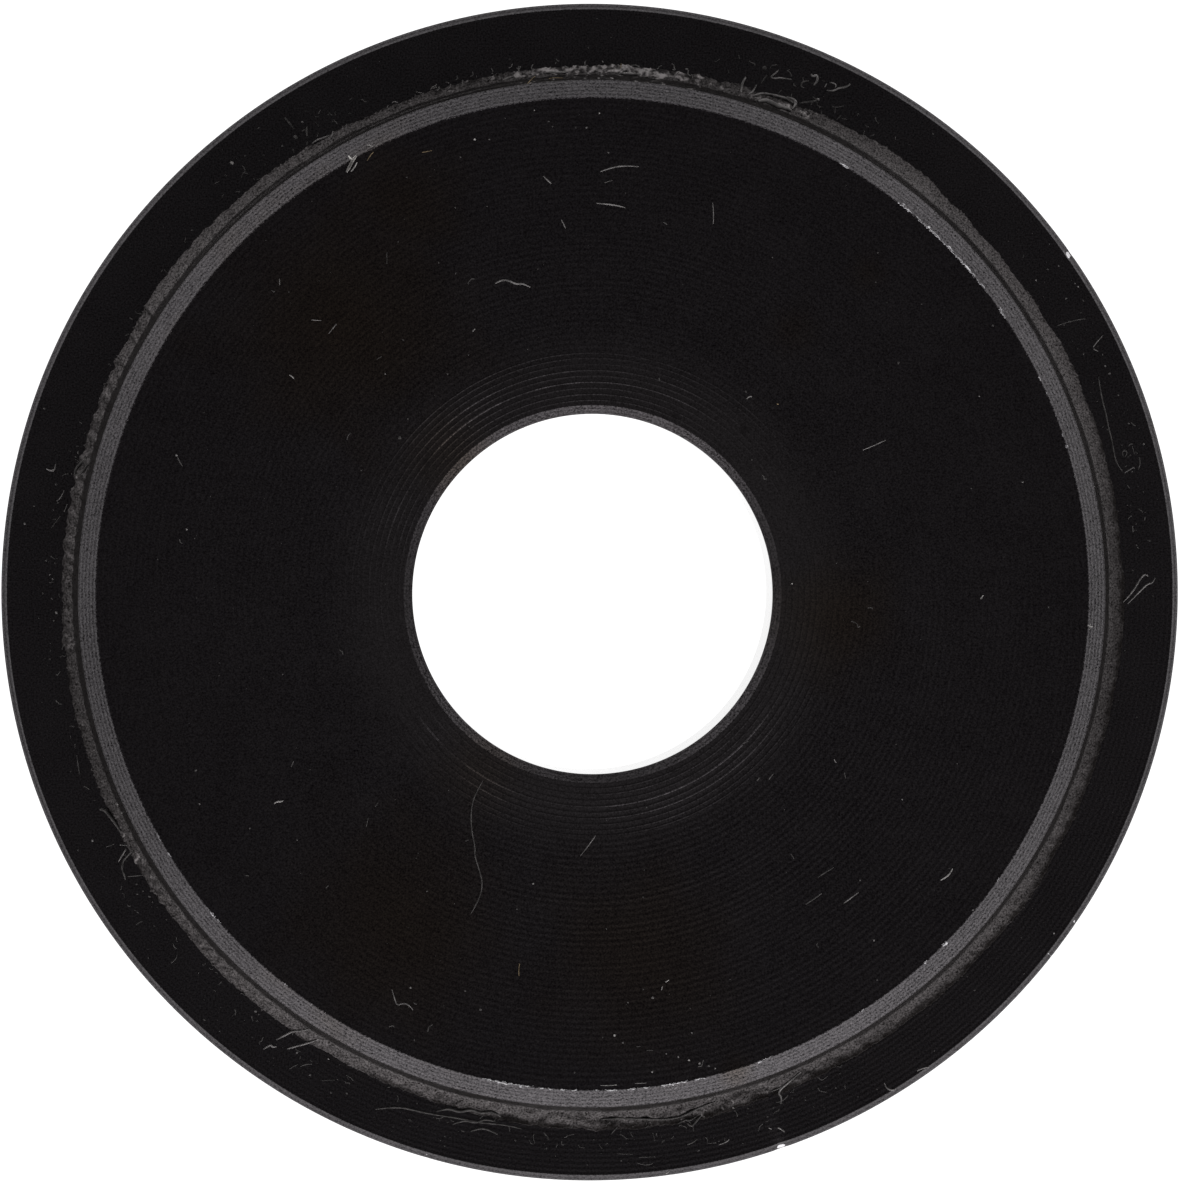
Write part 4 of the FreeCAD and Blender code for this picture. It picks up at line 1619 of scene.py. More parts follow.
    Fibre(Tone.FAINT, 1.2, ((616.6, 1153.5), (631.9, 1154.1))),
    Fibre(Tone.FAINT, 1.4, ((637.0, 1162.8), (647.0, 1166.4), (652.4, 1163.0))),
    # Fibres and scratches on the collar's face.
    Fibre(Tone.GREY, 1.6, ((495.0, 283.5), (501.0, 280.0), (508.0, 280.5), (516.0, 284.5),
                           (523.0, 283.5), (530.0, 287.5))),
    Fibre(Tone.GREY, 1.3, ((596.0, 203.5), (606.0, 204.5), (616.0, 205.5), (625.0, 208.0))),
    Fibre(Tone.GREY, 1.0, ((712.0, 203.0), (713.2, 213.0), (712.6, 224.0))),
    Fibre(Tone.GREY, 1.6, ((543.0, 176.5), (547.0, 181.0), (551.0, 184.0))),
    Fibre(Tone.GREY, 1.4, ((561.0, 220.0), (565.0, 228.5))),
    Fibre(Tone.GREY, 1.3, ((600.0, 172.0), (612.0, 167.5), (626.0, 166.0), (638.0, 167.0))),
    Fibre(Tone.FAINT, 1.4, ((604.0, 183.0), (612.0, 180.5))),
    Fibre(Tone.BRIGHT, 1.4, ((746.0, 399.0), (748.0, 396.0), (751.0, 396.4))),
    Fibre(Tone.TAN, 1.4, ((422.0, 153.0), (432.0, 151.0))),
    Fibre(Tone.GREY, 1.1, ((862.0, 450.0), (872.0, 446.0), (885.0, 440.0))),
    Fibre(Tone.FAINT, 1.0, ((482.5, 780.1), (474.1, 794.1), (470.4, 810.4), (471.3, 831.4), (475.1, 847.8),
                            (474.1, 854.8), (478.8, 868.8), (482.6, 882.8), (478.8, 899.1), (470.4, 913.1))),
    Fibre(Tone.BRIGHT, 1.3, ((274.0, 802.5), (277.5, 800.5), (281.0, 801.0), (283.0, 799.8))),
    Fibre(Tone.GREY, 1.2, ((291.0, 766.0), (293.5, 760.5))),
    Fibre(Tone.FAINT, 1.3, ((325.5, 887.0), (328.5, 884.5))),
    Fibre(Tone.FAINT, 1.0, ((366.0, 826.0), (368.0, 817.0))),
    Fibre(Tone.FAINT, 1.0, ((375.0, 806.0), (378.0, 801.5))),
    Fibre(Tone.BRIGHT, 1.5, ((289.5, 375.0), (292.5, 376.0), (294.0, 378.8))),
    Fibre(Tone.GREY, 1.1, ((328.8, 333.6), (332.8, 328.6), (336.5, 324.0))),
    Fibre(Tone.GREY, 1.1, ((311.5, 320.0), (321.1, 320.7))),
    Fibre(Tone.GREY, 1.3, ((279.6, 279.2), (280.0, 285.1))),
    Fibre(Tone.BRIGHT, 1.5, ((472.3, 331.7), (474.6, 328.8))),
    Fibre(Tone.FAINT, 1.2, ((178.0, 457.0), (180.0, 462.0), (183.0, 466.0))),
    Fibre(Tone.FAINT, 0.9, ((386.8, 252.8), (386.8, 263.8))),
    Fibre(Tone.FAINT, 1.0, ((376.5, 359.5), (381.5, 356.5))),
    Fibre(Tone.GREY, 1.2, ((768.3, 778.9), (772.8, 773.3))),
    Fibre(Tone.GREY, 1.3, ((833.3, 758.9), (835.6, 762.2))),
    Fibre(Tone.FAINT, 1.2, ((843.8, 772.0), (845.0, 778.0))),
    Fibre(Tone.FAINT, 1.1, ((790.5, 853.5), (793.5, 858.5))),
    Fibre(Tone.FAINT, 1.2, ((742.5, 743.0), (748.0, 740.5))),
    Fibre(Tone.TAN, 1.2, ((519.0, 963.0), (518.0, 969.0), (518.5, 975.0))),
    Fibre(Tone.BRIGHT, 1.4, ((665.0, 981.5), (668.5, 979.5))),
    Fibre(Tone.BRIGHT, 1.5, ((980.0, 598.5), (982.8, 595.0))),
    Fibre(Tone.GREY, 1.0, ((595.0, 835.0), (589.0, 844.0), (580.0, 855.0))),
    Fibre(Tone.BRIGHT, 1.3, ((940.0, 880.0), (946.0, 877.0), (950.5, 872.0), (952.0, 868.5))),
    Fibre(Tone.FAINT, 1.3, ((817.0, 877.0), (825.0, 872.0), (833.0, 867.0))),
    Fibre(Tone.FAINT, 1.5, ((805.0, 904.0), (813.0, 899.0), (821.0, 893.0))),
    Fibre(Tone.GREY, 1.3, ((843.0, 903.0), (850.0, 898.0), (858.0, 892.0))),
    Fibre(Tone.GREY, 1.1, ((391.6, 988.7), (394.8, 999.5), (396.7, 1004.6), (403.1, 1002.1),
                           (408.8, 1004.0), (412.6, 1009.1))),
    Fibre(Tone.BRIGHT, 0.9, ((600.0, 1084.8), (608.0, 1085.2), (616.6, 1084.2))),
    Fibre(Tone.GREY, 0.9, ((634.4, 1082.7), (645.9, 1082.5))),
    Fibre(Tone.FAINT, 1.0, ((635.7, 1046.0), (640.0, 1045.7))),
    Fibre(Tone.FAINT, 1.0, ((645.9, 1049.8), (652.3, 1049.6))),
    Fibre(Tone.GREY, 2.0, ((662.0, 985.6), (661.0, 989.4))),
    # Strands in the groove at the top.
    Fibre(Tone.TAN, 1.4, ((525.5, 85.6), (530.0, 80.0), (534.4, 76.7))),
    Fibre(Tone.TAN, 1.4, ((548.0, 79.0), (555.0, 77.6), (562.0, 78.6))),
    Fibre(Tone.GREY, 2.6, ((544.6, 72.6), (550.0, 72.2), (556.0, 73.0), (567.6, 72.2))),
    Fibre(Tone.GREY, 3.0, ((618.0, 74.0), (626.0, 73.4), (634.0, 74.6), (640.0, 74.0))),
    Fibre(Tone.GREY, 2.6, ((503.0, 80.0), (508.0, 77.8), (513.0, 76.6))),
    Fibre(Tone.TAN, 1.3, ((620.2, 68.0), (620.5, 63.6))),
)


@dataclass(frozen=True)
class Speck:
    """One grain of dust, placed in the picture: its pixel, its size there and its tone."""

    x: float
    y: float
    size: float
    tone: Tone


SPECKS: tuple[Speck, ...] = (
    Speck(232.0, 163.0, 4.2, Tone.BRIGHT), Speck(295.7, 137.5, 5.0, Tone.FAINT),
    Speck(302.2, 122.2, 2.2, Tone.GREY), Speck(282.3, 145.9, 2.2, Tone.GREY),
    Speck(764.0, 67.8, 5.5, Tone.FAINT), Speck(817.5, 99.3, 3.6, Tone.GREY),
    Speck(509.5, 59.5, 2.4, Tone.FAINT), Speck(534.0, 111.0, 1.6, Tone.GREY),
    Speck(599.0, 113.7, 2.0, Tone.BRIGHT), Speck(1058.2, 265.7, 2.0, Tone.GREY),
    Speck(1047.4, 268.9, 1.8, Tone.GREY), Speck(1077.7, 286.3, 2.2, Tone.GREY),
    Speck(1074.5, 283.0, 1.6, Tone.GREY), Speck(1065.8, 298.2, 1.6, Tone.GREY),
    Speck(1035.4, 279.8, 1.8, Tone.GREY), Speck(1069.0, 321.0, 1.4, Tone.GREY),
    Speck(1104.8, 365.5, 2.2, Tone.GREY), Speck(1109.2, 373.1, 2.6, Tone.GREY),
    Speck(1083.1, 353.5, 2.0, Tone.GREY), Speck(1117.9, 394.7, 1.8, Tone.GREY),
    Speck(1128.7, 423.0, 2.0, Tone.GREY), Speck(1143.7, 443.6, 2.0, Tone.BRIGHT),
    Speck(1089.2, 485.7, 1.6, Tone.BRIGHT), Speck(78.3, 452.0, 3.0, Tone.FAINT),
    Speck(46.4, 560.0, 2.2, Tone.GREY), Speck(55.3, 562.4, 2.0, Tone.FAINT),
    Speck(50.2, 574.0, 1.8, Tone.GREY), Speck(52.8, 578.4, 2.0, Tone.GREY),
    Speck(56.6, 612.0, 3.2, Tone.GREY), Speck(54.0, 619.8, 2.4, Tone.FAINT),
    Speck(52.0, 598.0, 2.0, Tone.FAINT), Speck(255.1, 1010.4, 3.0, Tone.GREY),
    Speck(296.6, 1051.8, 2.6, Tone.GREY), Speck(309.3, 1074.2, 2.4, Tone.GREY),
    Speck(327.8, 1058.2, 2.2, Tone.GREY), Speck(330.4, 1092.0, 2.2, Tone.FAINT),
    Speck(346.3, 1092.7, 2.4, Tone.FAINT), Speck(410.1, 986.8, 2.2, Tone.GREY),
    Speck(92.3, 839.6, 3.0, Tone.GREY), Speck(136.5, 883.1, 3.0, Tone.FAINT),
    Speck(142.8, 890.1, 2.6, Tone.FAINT), Speck(149.1, 895.7, 2.6, Tone.FAINT),
    Speck(117.5, 803.1, 2.2, Tone.BRIGHT), Speck(121.7, 811.6, 2.0, Tone.BRIGHT),
    Speck(196.1, 769.4, 2.4, Tone.FAINT), Speck(199.6, 803.1, 2.0, Tone.GREY),
    Speck(294.0, 1010.4, 2.0, Tone.BRIGHT), Speck(732.7, 1107.6, 2.2, Tone.GREY),
    Speck(698.2, 1150.3, 2.6, Tone.FAINT), Speck(614.0, 1034.8, 2.6, Tone.BRIGHT),
    Speck(622.3, 1041.9, 2.2, Tone.GREY), Speck(665.7, 1053.3, 2.0, Tone.GREY),
    Speck(677.8, 1056.5, 2.2, Tone.GREY), Speck(688.6, 1059.7, 2.2, Tone.BRIGHT),
    Speck(698.9, 1062.9, 2.4, Tone.BRIGHT), Speck(708.4, 1065.5, 2.2, Tone.GREY),
    Speck(714.8, 1068.0, 1.8, Tone.GREY), Speck(651.7, 1071.2, 2.2, Tone.GREY),
    Speck(691.2, 1032.3, 1.6, Tone.GREY), Speck(627.4, 1001.7, 1.8, Tone.GREY),
    Speck(652.3, 997.2, 3.0, Tone.GREY), Speck(177.0, 455.0, 2.4, Tone.GREY),
    Speck(187.0, 529.0, 2.2, Tone.GREY), Speck(25.0, 523.0, 3.0, Tone.GREY),
    Speck(455.0, 208.0, 1.6, Tone.GREY), Speck(901.7, 799.0, 1.8, Tone.GREY),
    Speck(777.0, 404.0, 2.0, Tone.TAN), Speck(791.5, 583.5, 1.8, Tone.BRIGHT),
    Speck(474.5, 140.0, 2.6, Tone.BRIGHT), Speck(489.0, 140.0, 1.8, Tone.GREY),
    Speck(548.0, 122.0, 2.2, Tone.FAINT), Speck(552.0, 127.0, 2.0, Tone.FAINT),
    Speck(575.0, 128.0, 1.8, Tone.FAINT), Speck(586.0, 128.0, 2.2, Tone.GREY),
    Speck(608.0, 153.0, 2.4, Tone.FAINT), Speck(1022.0, 482.0, 1.6, Tone.BRIGHT),
    Speck(972.5, 910.0, 2.0, Tone.GREY), Speck(1054.0, 933.5, 2.4, Tone.GREY),
    Speck(873.5, 940.0, 1.8, Tone.GREY), Speck(289.1, 292.1, 1.8, Tone.FAINT),
    Speck(385.0, 373.9, 1.8, Tone.GREY), Speck(447.4, 373.9, 2.2, Tone.FAINT),
    Speck(399.6, 437.4, 3.5, Tone.FAINT), Speck(468.3, 354.8, 1.8, Tone.FAINT),
    Speck(532.8, 883.0, 1.9, Tone.BRIGHT), Speck(516.5, 908.4, 2.0, Tone.FAINT),
    Speck(464.8, 990.1, 2.0, Tone.FAINT), Speck(480.2, 1008.8, 3.0, Tone.FAINT),
    Speck(978.6, 396.3, 1.5, Tone.GREY), Speck(897.9, 362.5, 3.0, Tone.FAINT),
    Speck(992.2, 325.5, 2.5, Tone.FAINT),
)


@dataclass
class Lint:
    """The fibres and grains that were placed one by one.

    Attributes:
        tip: Thickness of a fibre's ends, as a share of its thickness.
        lift: How far a fibre's middle lies over the surface, as a share of its radius.
        smoothness: Steps along a fibre between two of its points.
        lump_layers: A grain's layers, as reach and level in shares of its size.
        lump_ends: The levels of its lowest and its highest point.
        lump_range: How uneven its reach is.
    """

    ground: Ground
    sight: Sight
    finishes: Finishes
    tip: float = 0.55
    lift: float = 0.5
    smoothness: int = 5
    seed: int = 31
    lump_sides: int = 7
    lump_layers: tuple[tuple[float, float], ...] = ((0.95, -0.25), (1.0, 0.15), (0.62, 0.42))
    lump_ends: tuple[float, float] = (-0.4, 0.55)
    lump_range: tuple[float, float] = (0.72, 1.15)
    lump_breadth: float = 0.85

    def fibres(self, tone: Tone) -> bpy.types.Object | None:
        """All fibres of one tone, as round strands that lie on the surface.

        Args:
            tone: The tone to build.

        Returns:
            The piece, or None where no fibre has this tone.
        """
        chosen = [fibre for fibre in FIBRES if fibre.tone is tone]
        if not chosen:
            return None
        curve = bpy.data.curves.new("strands", "CURVE")
        curve.dimensions = "3D"
        curve.bevel_depth = 1.0
        curve.bevel_resolution = 1
        curve.resolution_u = self.smoothness
        curve.use_fill_caps = True
        for fibre in chosen:
            thick = fibre.width / self.sight.front_scale / 2
            spline = curve.splines.new("NURBS")
            spline.points.add(len(fibre.path) - 1)
            for index, (point, pixel) in enumerate(zip(spline.points, fibre.path)):
                x, y = self.sight.spot(*pixel)
                end = index in (0, len(fibre.path) - 1)
                radius = thick * (self.tip if end else 1.0)
                level = self.ground.height(x, y) + self.lift * radius
                point.co = (x * MM, y * MM, level * MM, 1.0)
                point.radius = radius * MM
            spline.order_u = 3
            spline.use_endpoint_u = True
        mesh = as_mesh(add_object("strands", curve))
        mesh.shade_smooth()
        press_down(mesh, self.ground.sizes.height)
        return settle(f"lint_{tone.value}", mesh, self.finishes.lint(tone))

    def grains(self, tone: Tone) -> bpy.types.Object | None:
        """All grains of one tone, as flattened lumps.

        Args:
            tone: The tone to build.

        Returns:
            The piece, or None where no grain has this tone.
        """
        chosen = [speck for speck in SPECKS if speck.tone is tone]
        if not chosen:
            return None
        draw = np.random.default_rng(self.seed)
        points, faces = [], []
        for speck in chosen:
            x, y = self.sight.spot(speck.x, speck.y)
            level = self.ground.height(x, y)
            size = speck.size / self.sight.front_scale / 2
            start = len(points)
            turn = draw.uniform(0, 2 * math.pi)
            lump, sides = self.lump(size, draw)
            for along, across, up in lump:
                points.append(((x + along * math.cos(turn) - across * math.sin(turn)) * MM,
                               (y + along * math.sin(turn) + across * math.cos(turn)) * MM,
                               (level + up) * MM))
            faces += [tuple(start + corner for corner in side) for side in sides]
        mesh = bpy.data.meshes.new("grains")
        mesh.from_pydata(points, [], faces)
        mesh.shade_smooth()
        press_down(mesh, self.ground.sizes.height)
        return settle(f"grains_{tone.value}", mesh, self.finishes.lint(tone))

    def lump(self, size: float, draw: np.random.Generator) -> tuple[list, list]:
        """One uneven lump round the origin.

        Args:
            size: Its radius in mm.
            draw: Where its unevenness comes from.

        Returns:
            Points in mm and faces.
        """
        sides, layers = self.lump_sides, self.lump_layers
        lowest, highest = self.lump_ends
        points = [(0.0, 0.0, lowest * size)]
        for reach, level in layers:
            for side in range(sides):
                angle = 2 * math.pi * side / sides
                far = size * reach * draw.uniform(*self.lump_range)
                across = far * self.lump_breadth * math.sin(angle)
                points.append((far * math.cos(angle), across, level * size))
        points.append((0.0, 0.0, highest * size))
        faces = [(0, 1 + (side + 1) % sides, 1 + side) for side in range(sides)]
        for layer in range(len(layers) - 1):
            low, high = 1 + layer * sides, 1 + (layer + 1) * sides
            for side in range(sides):
                beside = (side + 1) % sides
                faces.append((low + side, low + beside, high + beside, high + side))
        last = 1 + (len(layers) - 1) * sides
        faces += [(last + side, last + (side + 1) % sides, len(points) - 1) for side in range(sides)]
        return points, faces

    def build(self) -> None:
        """Makes every tone's fibres and grains."""
        for tone in Tone:
            self.fibres(tone)
            self.grains(tone)


@dataclass(frozen=True)
class DustField:
    """A part of a flat ring over which dust lies.

    Attributes:
        name: Name of the piece.
        inner: Inner radius in mm.
        outer: Outer radius in mm.
        level: Height of the surface in mm.
        start: Where it starts, in degrees clockwise from the picture's right.
        end: Where it ends.
        density: Grains or fibres for each square millimetre.
        smallest: Radius or length of the smallest, in mm.
        largest: Radius or length of the largest, in mm.
        seed: Seed of the scatter.
        tone: How bright it looks.
        step: How many degrees of the ring each face of its ground takes, about.
    """

    name: str
    inner: float
    outer: float
    level: float
    start: float
    end: float
    density: float
    smallest: float
    largest: float
    seed: int
    tone: Tone
    step: float = 3.0

    def ground(self) -> bpy.types.Mesh:
        """The flat sector that the dust lies on, which doesn't stay."""
        count = max(2, round(abs(self.end - self.start) / self.step)) + 1
        angles = -np.radians(np.linspace(self.start, self.end, count))
        radii = np.array([[self.inner], [self.outer]]) * np.ones(count)
        points = turned(radii, np.full_like(radii, self.level), angles * np.ones((2, 1)))
        faces = [(at, at + 1, count + at + 1, count + at) for at in range(count - 1)]
        mesh = bpy.data.meshes.new("dust_ground")
        mesh.from_pydata(points.reshape(-1, 3).tolist(), [], faces)
        return mesh


GRAIN_FIELDS: tuple[DustField, ...] = (
    DustField("dust_on_face", 6.7, 16.6, 5.985, 0, 360, 0.45, 0.008, 0.030, 41, Tone.FAINT),
    DustField("dust_left_of_bore", 10.6, 13.6, 5.985, 163, 197, 2.2, 0.007, 0.024, 42, Tone.FAINT),
    DustField("dust_on_flange", 18.2, 19.7, 3.0, 0, 360, 1.6, 0.008, 0.034, 43, Tone.FAINT),
    DustField("dust_on_flange_left", 18.0, 18.7, 3.0, 168, 195, 6.0, 0.010, 0.040, 44, Tone.FAINT),
    DustField("dust_on_flange_right", 18.3, 19.6, 3.0, 318, 352, 4.0, 0.010, 0.034, 45, Tone.FAINT),
    DustField("dust_on_flange_bottom", 18.1, 19.5, 3.0, 62, 150, 4.0, 0.010, 0.034, 46, Tone.FAINT),
)

FIBRE_FIELDS: tuple[DustField, ...] = (
    DustField("fluff_on_face", 7.0, 16.4, 5.985, 0, 360, 0.05, 0.10, 0.40, 51, Tone.FAINT),
    DustField("fluff_upper_right", 17.95, 19.0, 3.0, 283, 304, 7.0, 0.10, 0.35, 52, Tone.FAINT),
    DustField("fluff_upper_left", 17.9, 18.9, 3.0, 226, 246, 7.0, 0.10, 0.30, 53, Tone.FAINT),
    DustField("fluff_top", 17.75, 18.1, 3.1, 247, 282, 16.0, 0.10, 0.30, 54, Tone.GREY),
    DustField("fluff_right", 18.3, 19.4, 3.0, 342, 356, 8.0, 0.10, 0.30, 55, Tone.FAINT),
    DustField("fluff_left", 17.9, 18.4, 3.0, 150, 222, 5.0, 0.08, 0.25, 56, Tone.FAINT),
    DustField("fluff_bottom", 18.0, 19.1, 3.0, 62, 100, 5.0, 0.10, 0.32, 57, Tone.FAINT),
    DustField("fluff_lower_left", 18.0, 19.0, 3.0, 100, 148, 4.0, 0.10, 0.32, 58, Tone.FAINT),
)


class TreeInput(Enum):
    """The named inputs of the trees that strew dust."""

    DENSITY = ("Density", "NodeSocketFloat")
    SMALLEST = ("Smallest", "NodeSocketFloat")
    LARGEST = ("Largest", "NodeSocketFloat")
    SEED = ("Seed", "NodeSocketInt")
    MATERIAL = ("Material", "NodeSocketMaterial")


class DustTree:
    """A Geometry Nodes tree that strews things over the surface that it is given.

    Attributes:
        patches: Noise that thins the dust out in patches.
        patch_range: Where on that noise there is no dust and where it is thickest.
        rarity: How much rarer large things are than small ones, as a power.
    """

    patches: Clouds = Clouds(scale=0.7, detail=2.0)
    patch_range: tuple[float, float] = (0.38, 0.60)
    rarity: float = 2.5

    def __init__(self, name: str) -> None:
        """Makes the tree with its named inputs."""
        self.tree = bpy.data.node_groups.new(name, "GeometryNodeTree")
        self.tree.interface.new_socket("Ground", in_out="INPUT", socket_type="NodeSocketGeometry")
        for entry in TreeInput:
            label, kind = entry.value
            self.tree.interface.new_socket(label, in_out="INPUT", socket_type=kind)
        self.tree.interface.new_socket("Dust", in_out="OUTPUT", socket_type="NodeSocketGeometry")
        self.graph = NodeGraph(self.tree)
        self.given = self.graph.node("NodeGroupInput").outputs

    def scattered(self) -> bpy.types.NodeSocket:
        """Points on the ground, thinned out in patches."""
        graph = self.graph
        place = graph.scaled(graph.node("GeometryNodeInputPosition").outputs[0], 1.0 / MM)
        thick = graph.ramp(graph.noise(place, self.patches), *self.patch_range)
        for_each_mm = graph.math("MULTIPLY", self.given["Density"], thick)
        density = graph.math("MULTIPLY", for_each_mm, MM ** -2)
        spread = graph.node("GeometryNodeDistributePointsOnFaces", {"distribute_method": "RANDOM"},
                            {"Mesh": self.given["Ground"], "Seed": self.given["Seed"]})
        density_socket = next(socket for socket in spread.inputs
                              if socket.name == "Density" and socket.enabled)
        graph.feed(density_socket, density)
        return spread.outputs["Points"]

    def chance(self, kind: str, low: object, high: object, offset: int) -> bpy.types.NodeSocket:
        """A random value for each point.

        Args:
            kind: FLOAT or FLOAT_VECTOR.
            low: The least that it may be.
            high: The most that it may be.
            offset: Keeps it apart from the tree's other random values.

        Returns:
            The value.
        """
        node = self.graph.node("FunctionNodeRandomValue", {"data_type": kind})
        sockets = [socket for socket in node.inputs if socket.enabled]
        by_name = {socket.name: socket for socket in sockets}
        self.graph.feed(by_name["Min"], low)
        self.graph.feed(by_name["Max"], high)
        self.graph.feed(by_name["Seed"], self.graph.math("ADD", self.given["Seed"], float(offset)))
        return next(socket for socket in node.outputs if socket.enabled)

    def size(self) -> bpy.types.NodeSocket:
        """A size in metres for each point, more often small than large."""
        lot = self.chance("FLOAT", 0.0, 1.0, 1)
        share = self.graph.math("POWER", lot, self.rarity)
        span = self.graph.math("SUBTRACT", self.given["Largest"], self.given["Smallest"])
        return self.graph.math("MULTIPLY_ADD", share, span, self.given["Smallest"])

    def close(self, geometry: bpy.types.NodeSocket) -> bpy.types.NodeTree:
        """Ends the tree with real meshes and their material.

        Args:
            geometry: What the tree made.

        Returns:
            The finished tree.
        """
        graph = self.graph
        real = graph.node("GeometryNodeRealizeInstances", inputs={"Geometry": geometry}).outputs[0]
        smooth = graph.node("GeometryNodeSetShadeSmooth", inputs={"Geometry": real}).outputs[0]
        dressed = graph.node("GeometryNodeSetMaterial", inputs={
            "Geometry": smooth, "Material": self.given["Material"]}).outputs[0]
        graph.node("NodeGroupOutput", inputs={0: dressed})
        return self.tree


class GrainTree(DustTree):
    """Strews small flattened grains.

    Attributes:
        lengths: The least and the greatest length of a grain, as shares of its breadth.
        flatness: Its height, as a share of its breadth.
        tumble: How far it may be turned about each axis, in radians.
    """

    lengths: tuple[float, float] = (0.7, 1.7)
    flatness: float = 0.6
    tumble: tuple[float, float, float] = (0.3, 0.3, 6.28)

    def build(self) -> bpy.types.NodeTree:
        """Makes the tree."""
        graph = self.graph
        size = self.size()
        longer = graph.math("MULTIPLY", size, self.chance("FLOAT", *self.lengths, 2))
        grain = graph.node("GeometryNodeMeshIcoSphere", inputs={"Radius": 1.0, "Subdivisions": 1})
        placed = graph.node("GeometryNodeInstanceOnPoints", inputs={
            "Points": self.scattered(), "Instance": grain.outputs["Mesh"],
            "Rotation": self.chance("FLOAT_VECTOR", (0.0, 0.0, 0.0), self.tumble, 3),
            "Scale": graph.combine(longer, size, graph.math("MULTIPLY", size, self.flatness))})
        return self.close(placed.outputs[0])


class FibreTree(DustTree):
    """Strews short curled fibres, each with a bend of its own.

    Attributes:
        thickness: Radius of a fibre in mm.
        curl: How strongly it curls upwards, in mm; sideways it is four times that.
        curl_middle: What is taken off the noise, so that fibres rise a little more than they sink.
    """

    thickness: float = 0.017
    curl: float = 0.10
    curl_noise: Clouds = Clouds(scale=4.5, detail=1.0)
    curl_middle: tuple[float, float, float] = (0.5, 0.5, 0.42)
    points: int = 9
    sides: int = 5
    turn: tuple[float, float, float] = (0.0, 0.0, 6.28)

    def build(self) -> bpy.types.NodeTree:
        """Makes the tree."""
        graph = self.graph
        straight = graph.node("GeometryNodeCurvePrimitiveLine", inputs={
            "Start": (-0.5, 0.0, 0.0), "End": (0.5, 0.0, 0.0)}).outputs[0]
        fine = graph.node("GeometryNodeResampleCurve", inputs={"Curve": straight, "Count": self.points})
        size = self.size()
        placed = graph.node("GeometryNodeInstanceOnPoints", inputs={
            "Points": self.scattered(), "Instance": fine.outputs[0],
            "Rotation": self.chance("FLOAT_VECTOR", (0.0, 0.0, 0.0), self.turn, 3),
            "Scale": graph.combine(size, size, size)})
        real = graph.node("GeometryNodeRealizeInstances", inputs={"Geometry": placed.outputs[0]}).outputs[0]
        place = graph.scaled(graph.node("GeometryNodeInputPosition").outputs[0], 1.0 / MM)
        noise = graph.noise(place, self.curl_noise, "Color")
        centred = graph.node("ShaderNodeVectorMath", {"operation": "SUBTRACT"},
                             {0: noise, 1: self.curl_middle}).outputs[0]
        drift = graph.product(centred, (4 * self.curl * MM, 4 * self.curl * MM, self.curl * MM))
        curled = graph.node("GeometryNodeSetPosition", inputs={"Geometry": real, "Offset": drift})
        ring = graph.node("GeometryNodeCurvePrimitiveCircle", inputs={
            "Resolution": self.sides, "Radius": self.thickness * MM})
        tube = graph.node("GeometryNodeCurveToMesh", inputs={
            "Curve": curled.outputs[0], "Profile Curve": ring.outputs[0], "Fill Caps": True})
        return self.close(tube.outputs[0])


@dataclass
class Dust:
    """The fine dust and fluff that lies too thickly to be placed by hand."""

    sizes: WasherSizes
    finishes: Finishes

    def build(self) -> None:
        """Strews every field of grains and of fibres."""
        grains = GrainTree("strewn_grains").build()
        fibres = FibreTree("strewn_fibres").build()
        for tree, fields in ((grains, GRAIN_FIELDS), (fibres, FIBRE_FIELDS)):
            for patch in fields:
                self.strew(tree, patch)

    def strew(self, tree: bpy.types.NodeTree, patch: DustField) -> None:
        """Strews one field.

        Args:
            tree: The tree that does it.
            patch: The field.
        """
        mesh = grow(patch.ground(), tree, {
            TreeInput.DENSITY.value[0]: patch.density,
            TreeInput.SMALLEST.value[0]: patch.smallest * MM,
            TreeInput.LARGEST.value[0]: patch.largest * MM,
            TreeInput.SEED.value[0]: patch.seed,
            TreeInput.MATERIAL.value[0]: self.finishes.lint(patch.tone)})
        press_down(mesh, self.sizes.height)
        settle(patch.name, mesh)


@dataclass(frozen=True)
class SoftLobe:
    """A soft patch of light on the studio's walls.

    Attributes:
        clockwise: Its direction, in degrees clockwise from the picture's right.
        elevation: Its height above the horizon, in degrees.
        sharpness: How fast it fades to its sides.
        level: Its brightness.
    """

    clockwise: float
    elevation: float
    sharpness: float
    level: float

    def direction(self) -> tuple[float, float, float]:
        """The unit vector that points to it."""
        turn, lift = math.radians(-self.clockwise), math.radians(self.elevation)
        return (math.cos(turn) * math.cos(lift), math.sin(turn) * math.cos(lift), math.sin(lift))


STUDIO_LIGHTS: tuple[SoftLobe, ...] = (
    SoftLobe(clockwise=62.0, elevation=4.0, sharpness=5.0, level=1.24),
    SoftLobe(clockwise=112.0, elevation=4.0, sharpness=6.0, level=1.14),
    SoftLobe(clockwise=222.0, elevation=4.0, sharpness=7.0, level=0.60),
    SoftLobe(clockwise=318.0, elevation=4.0, sharpness=7.0, level=0.60),
    SoftLobe(clockwise=65.0, elevation=50.0, sharpness=6.0, level=0.17),
)


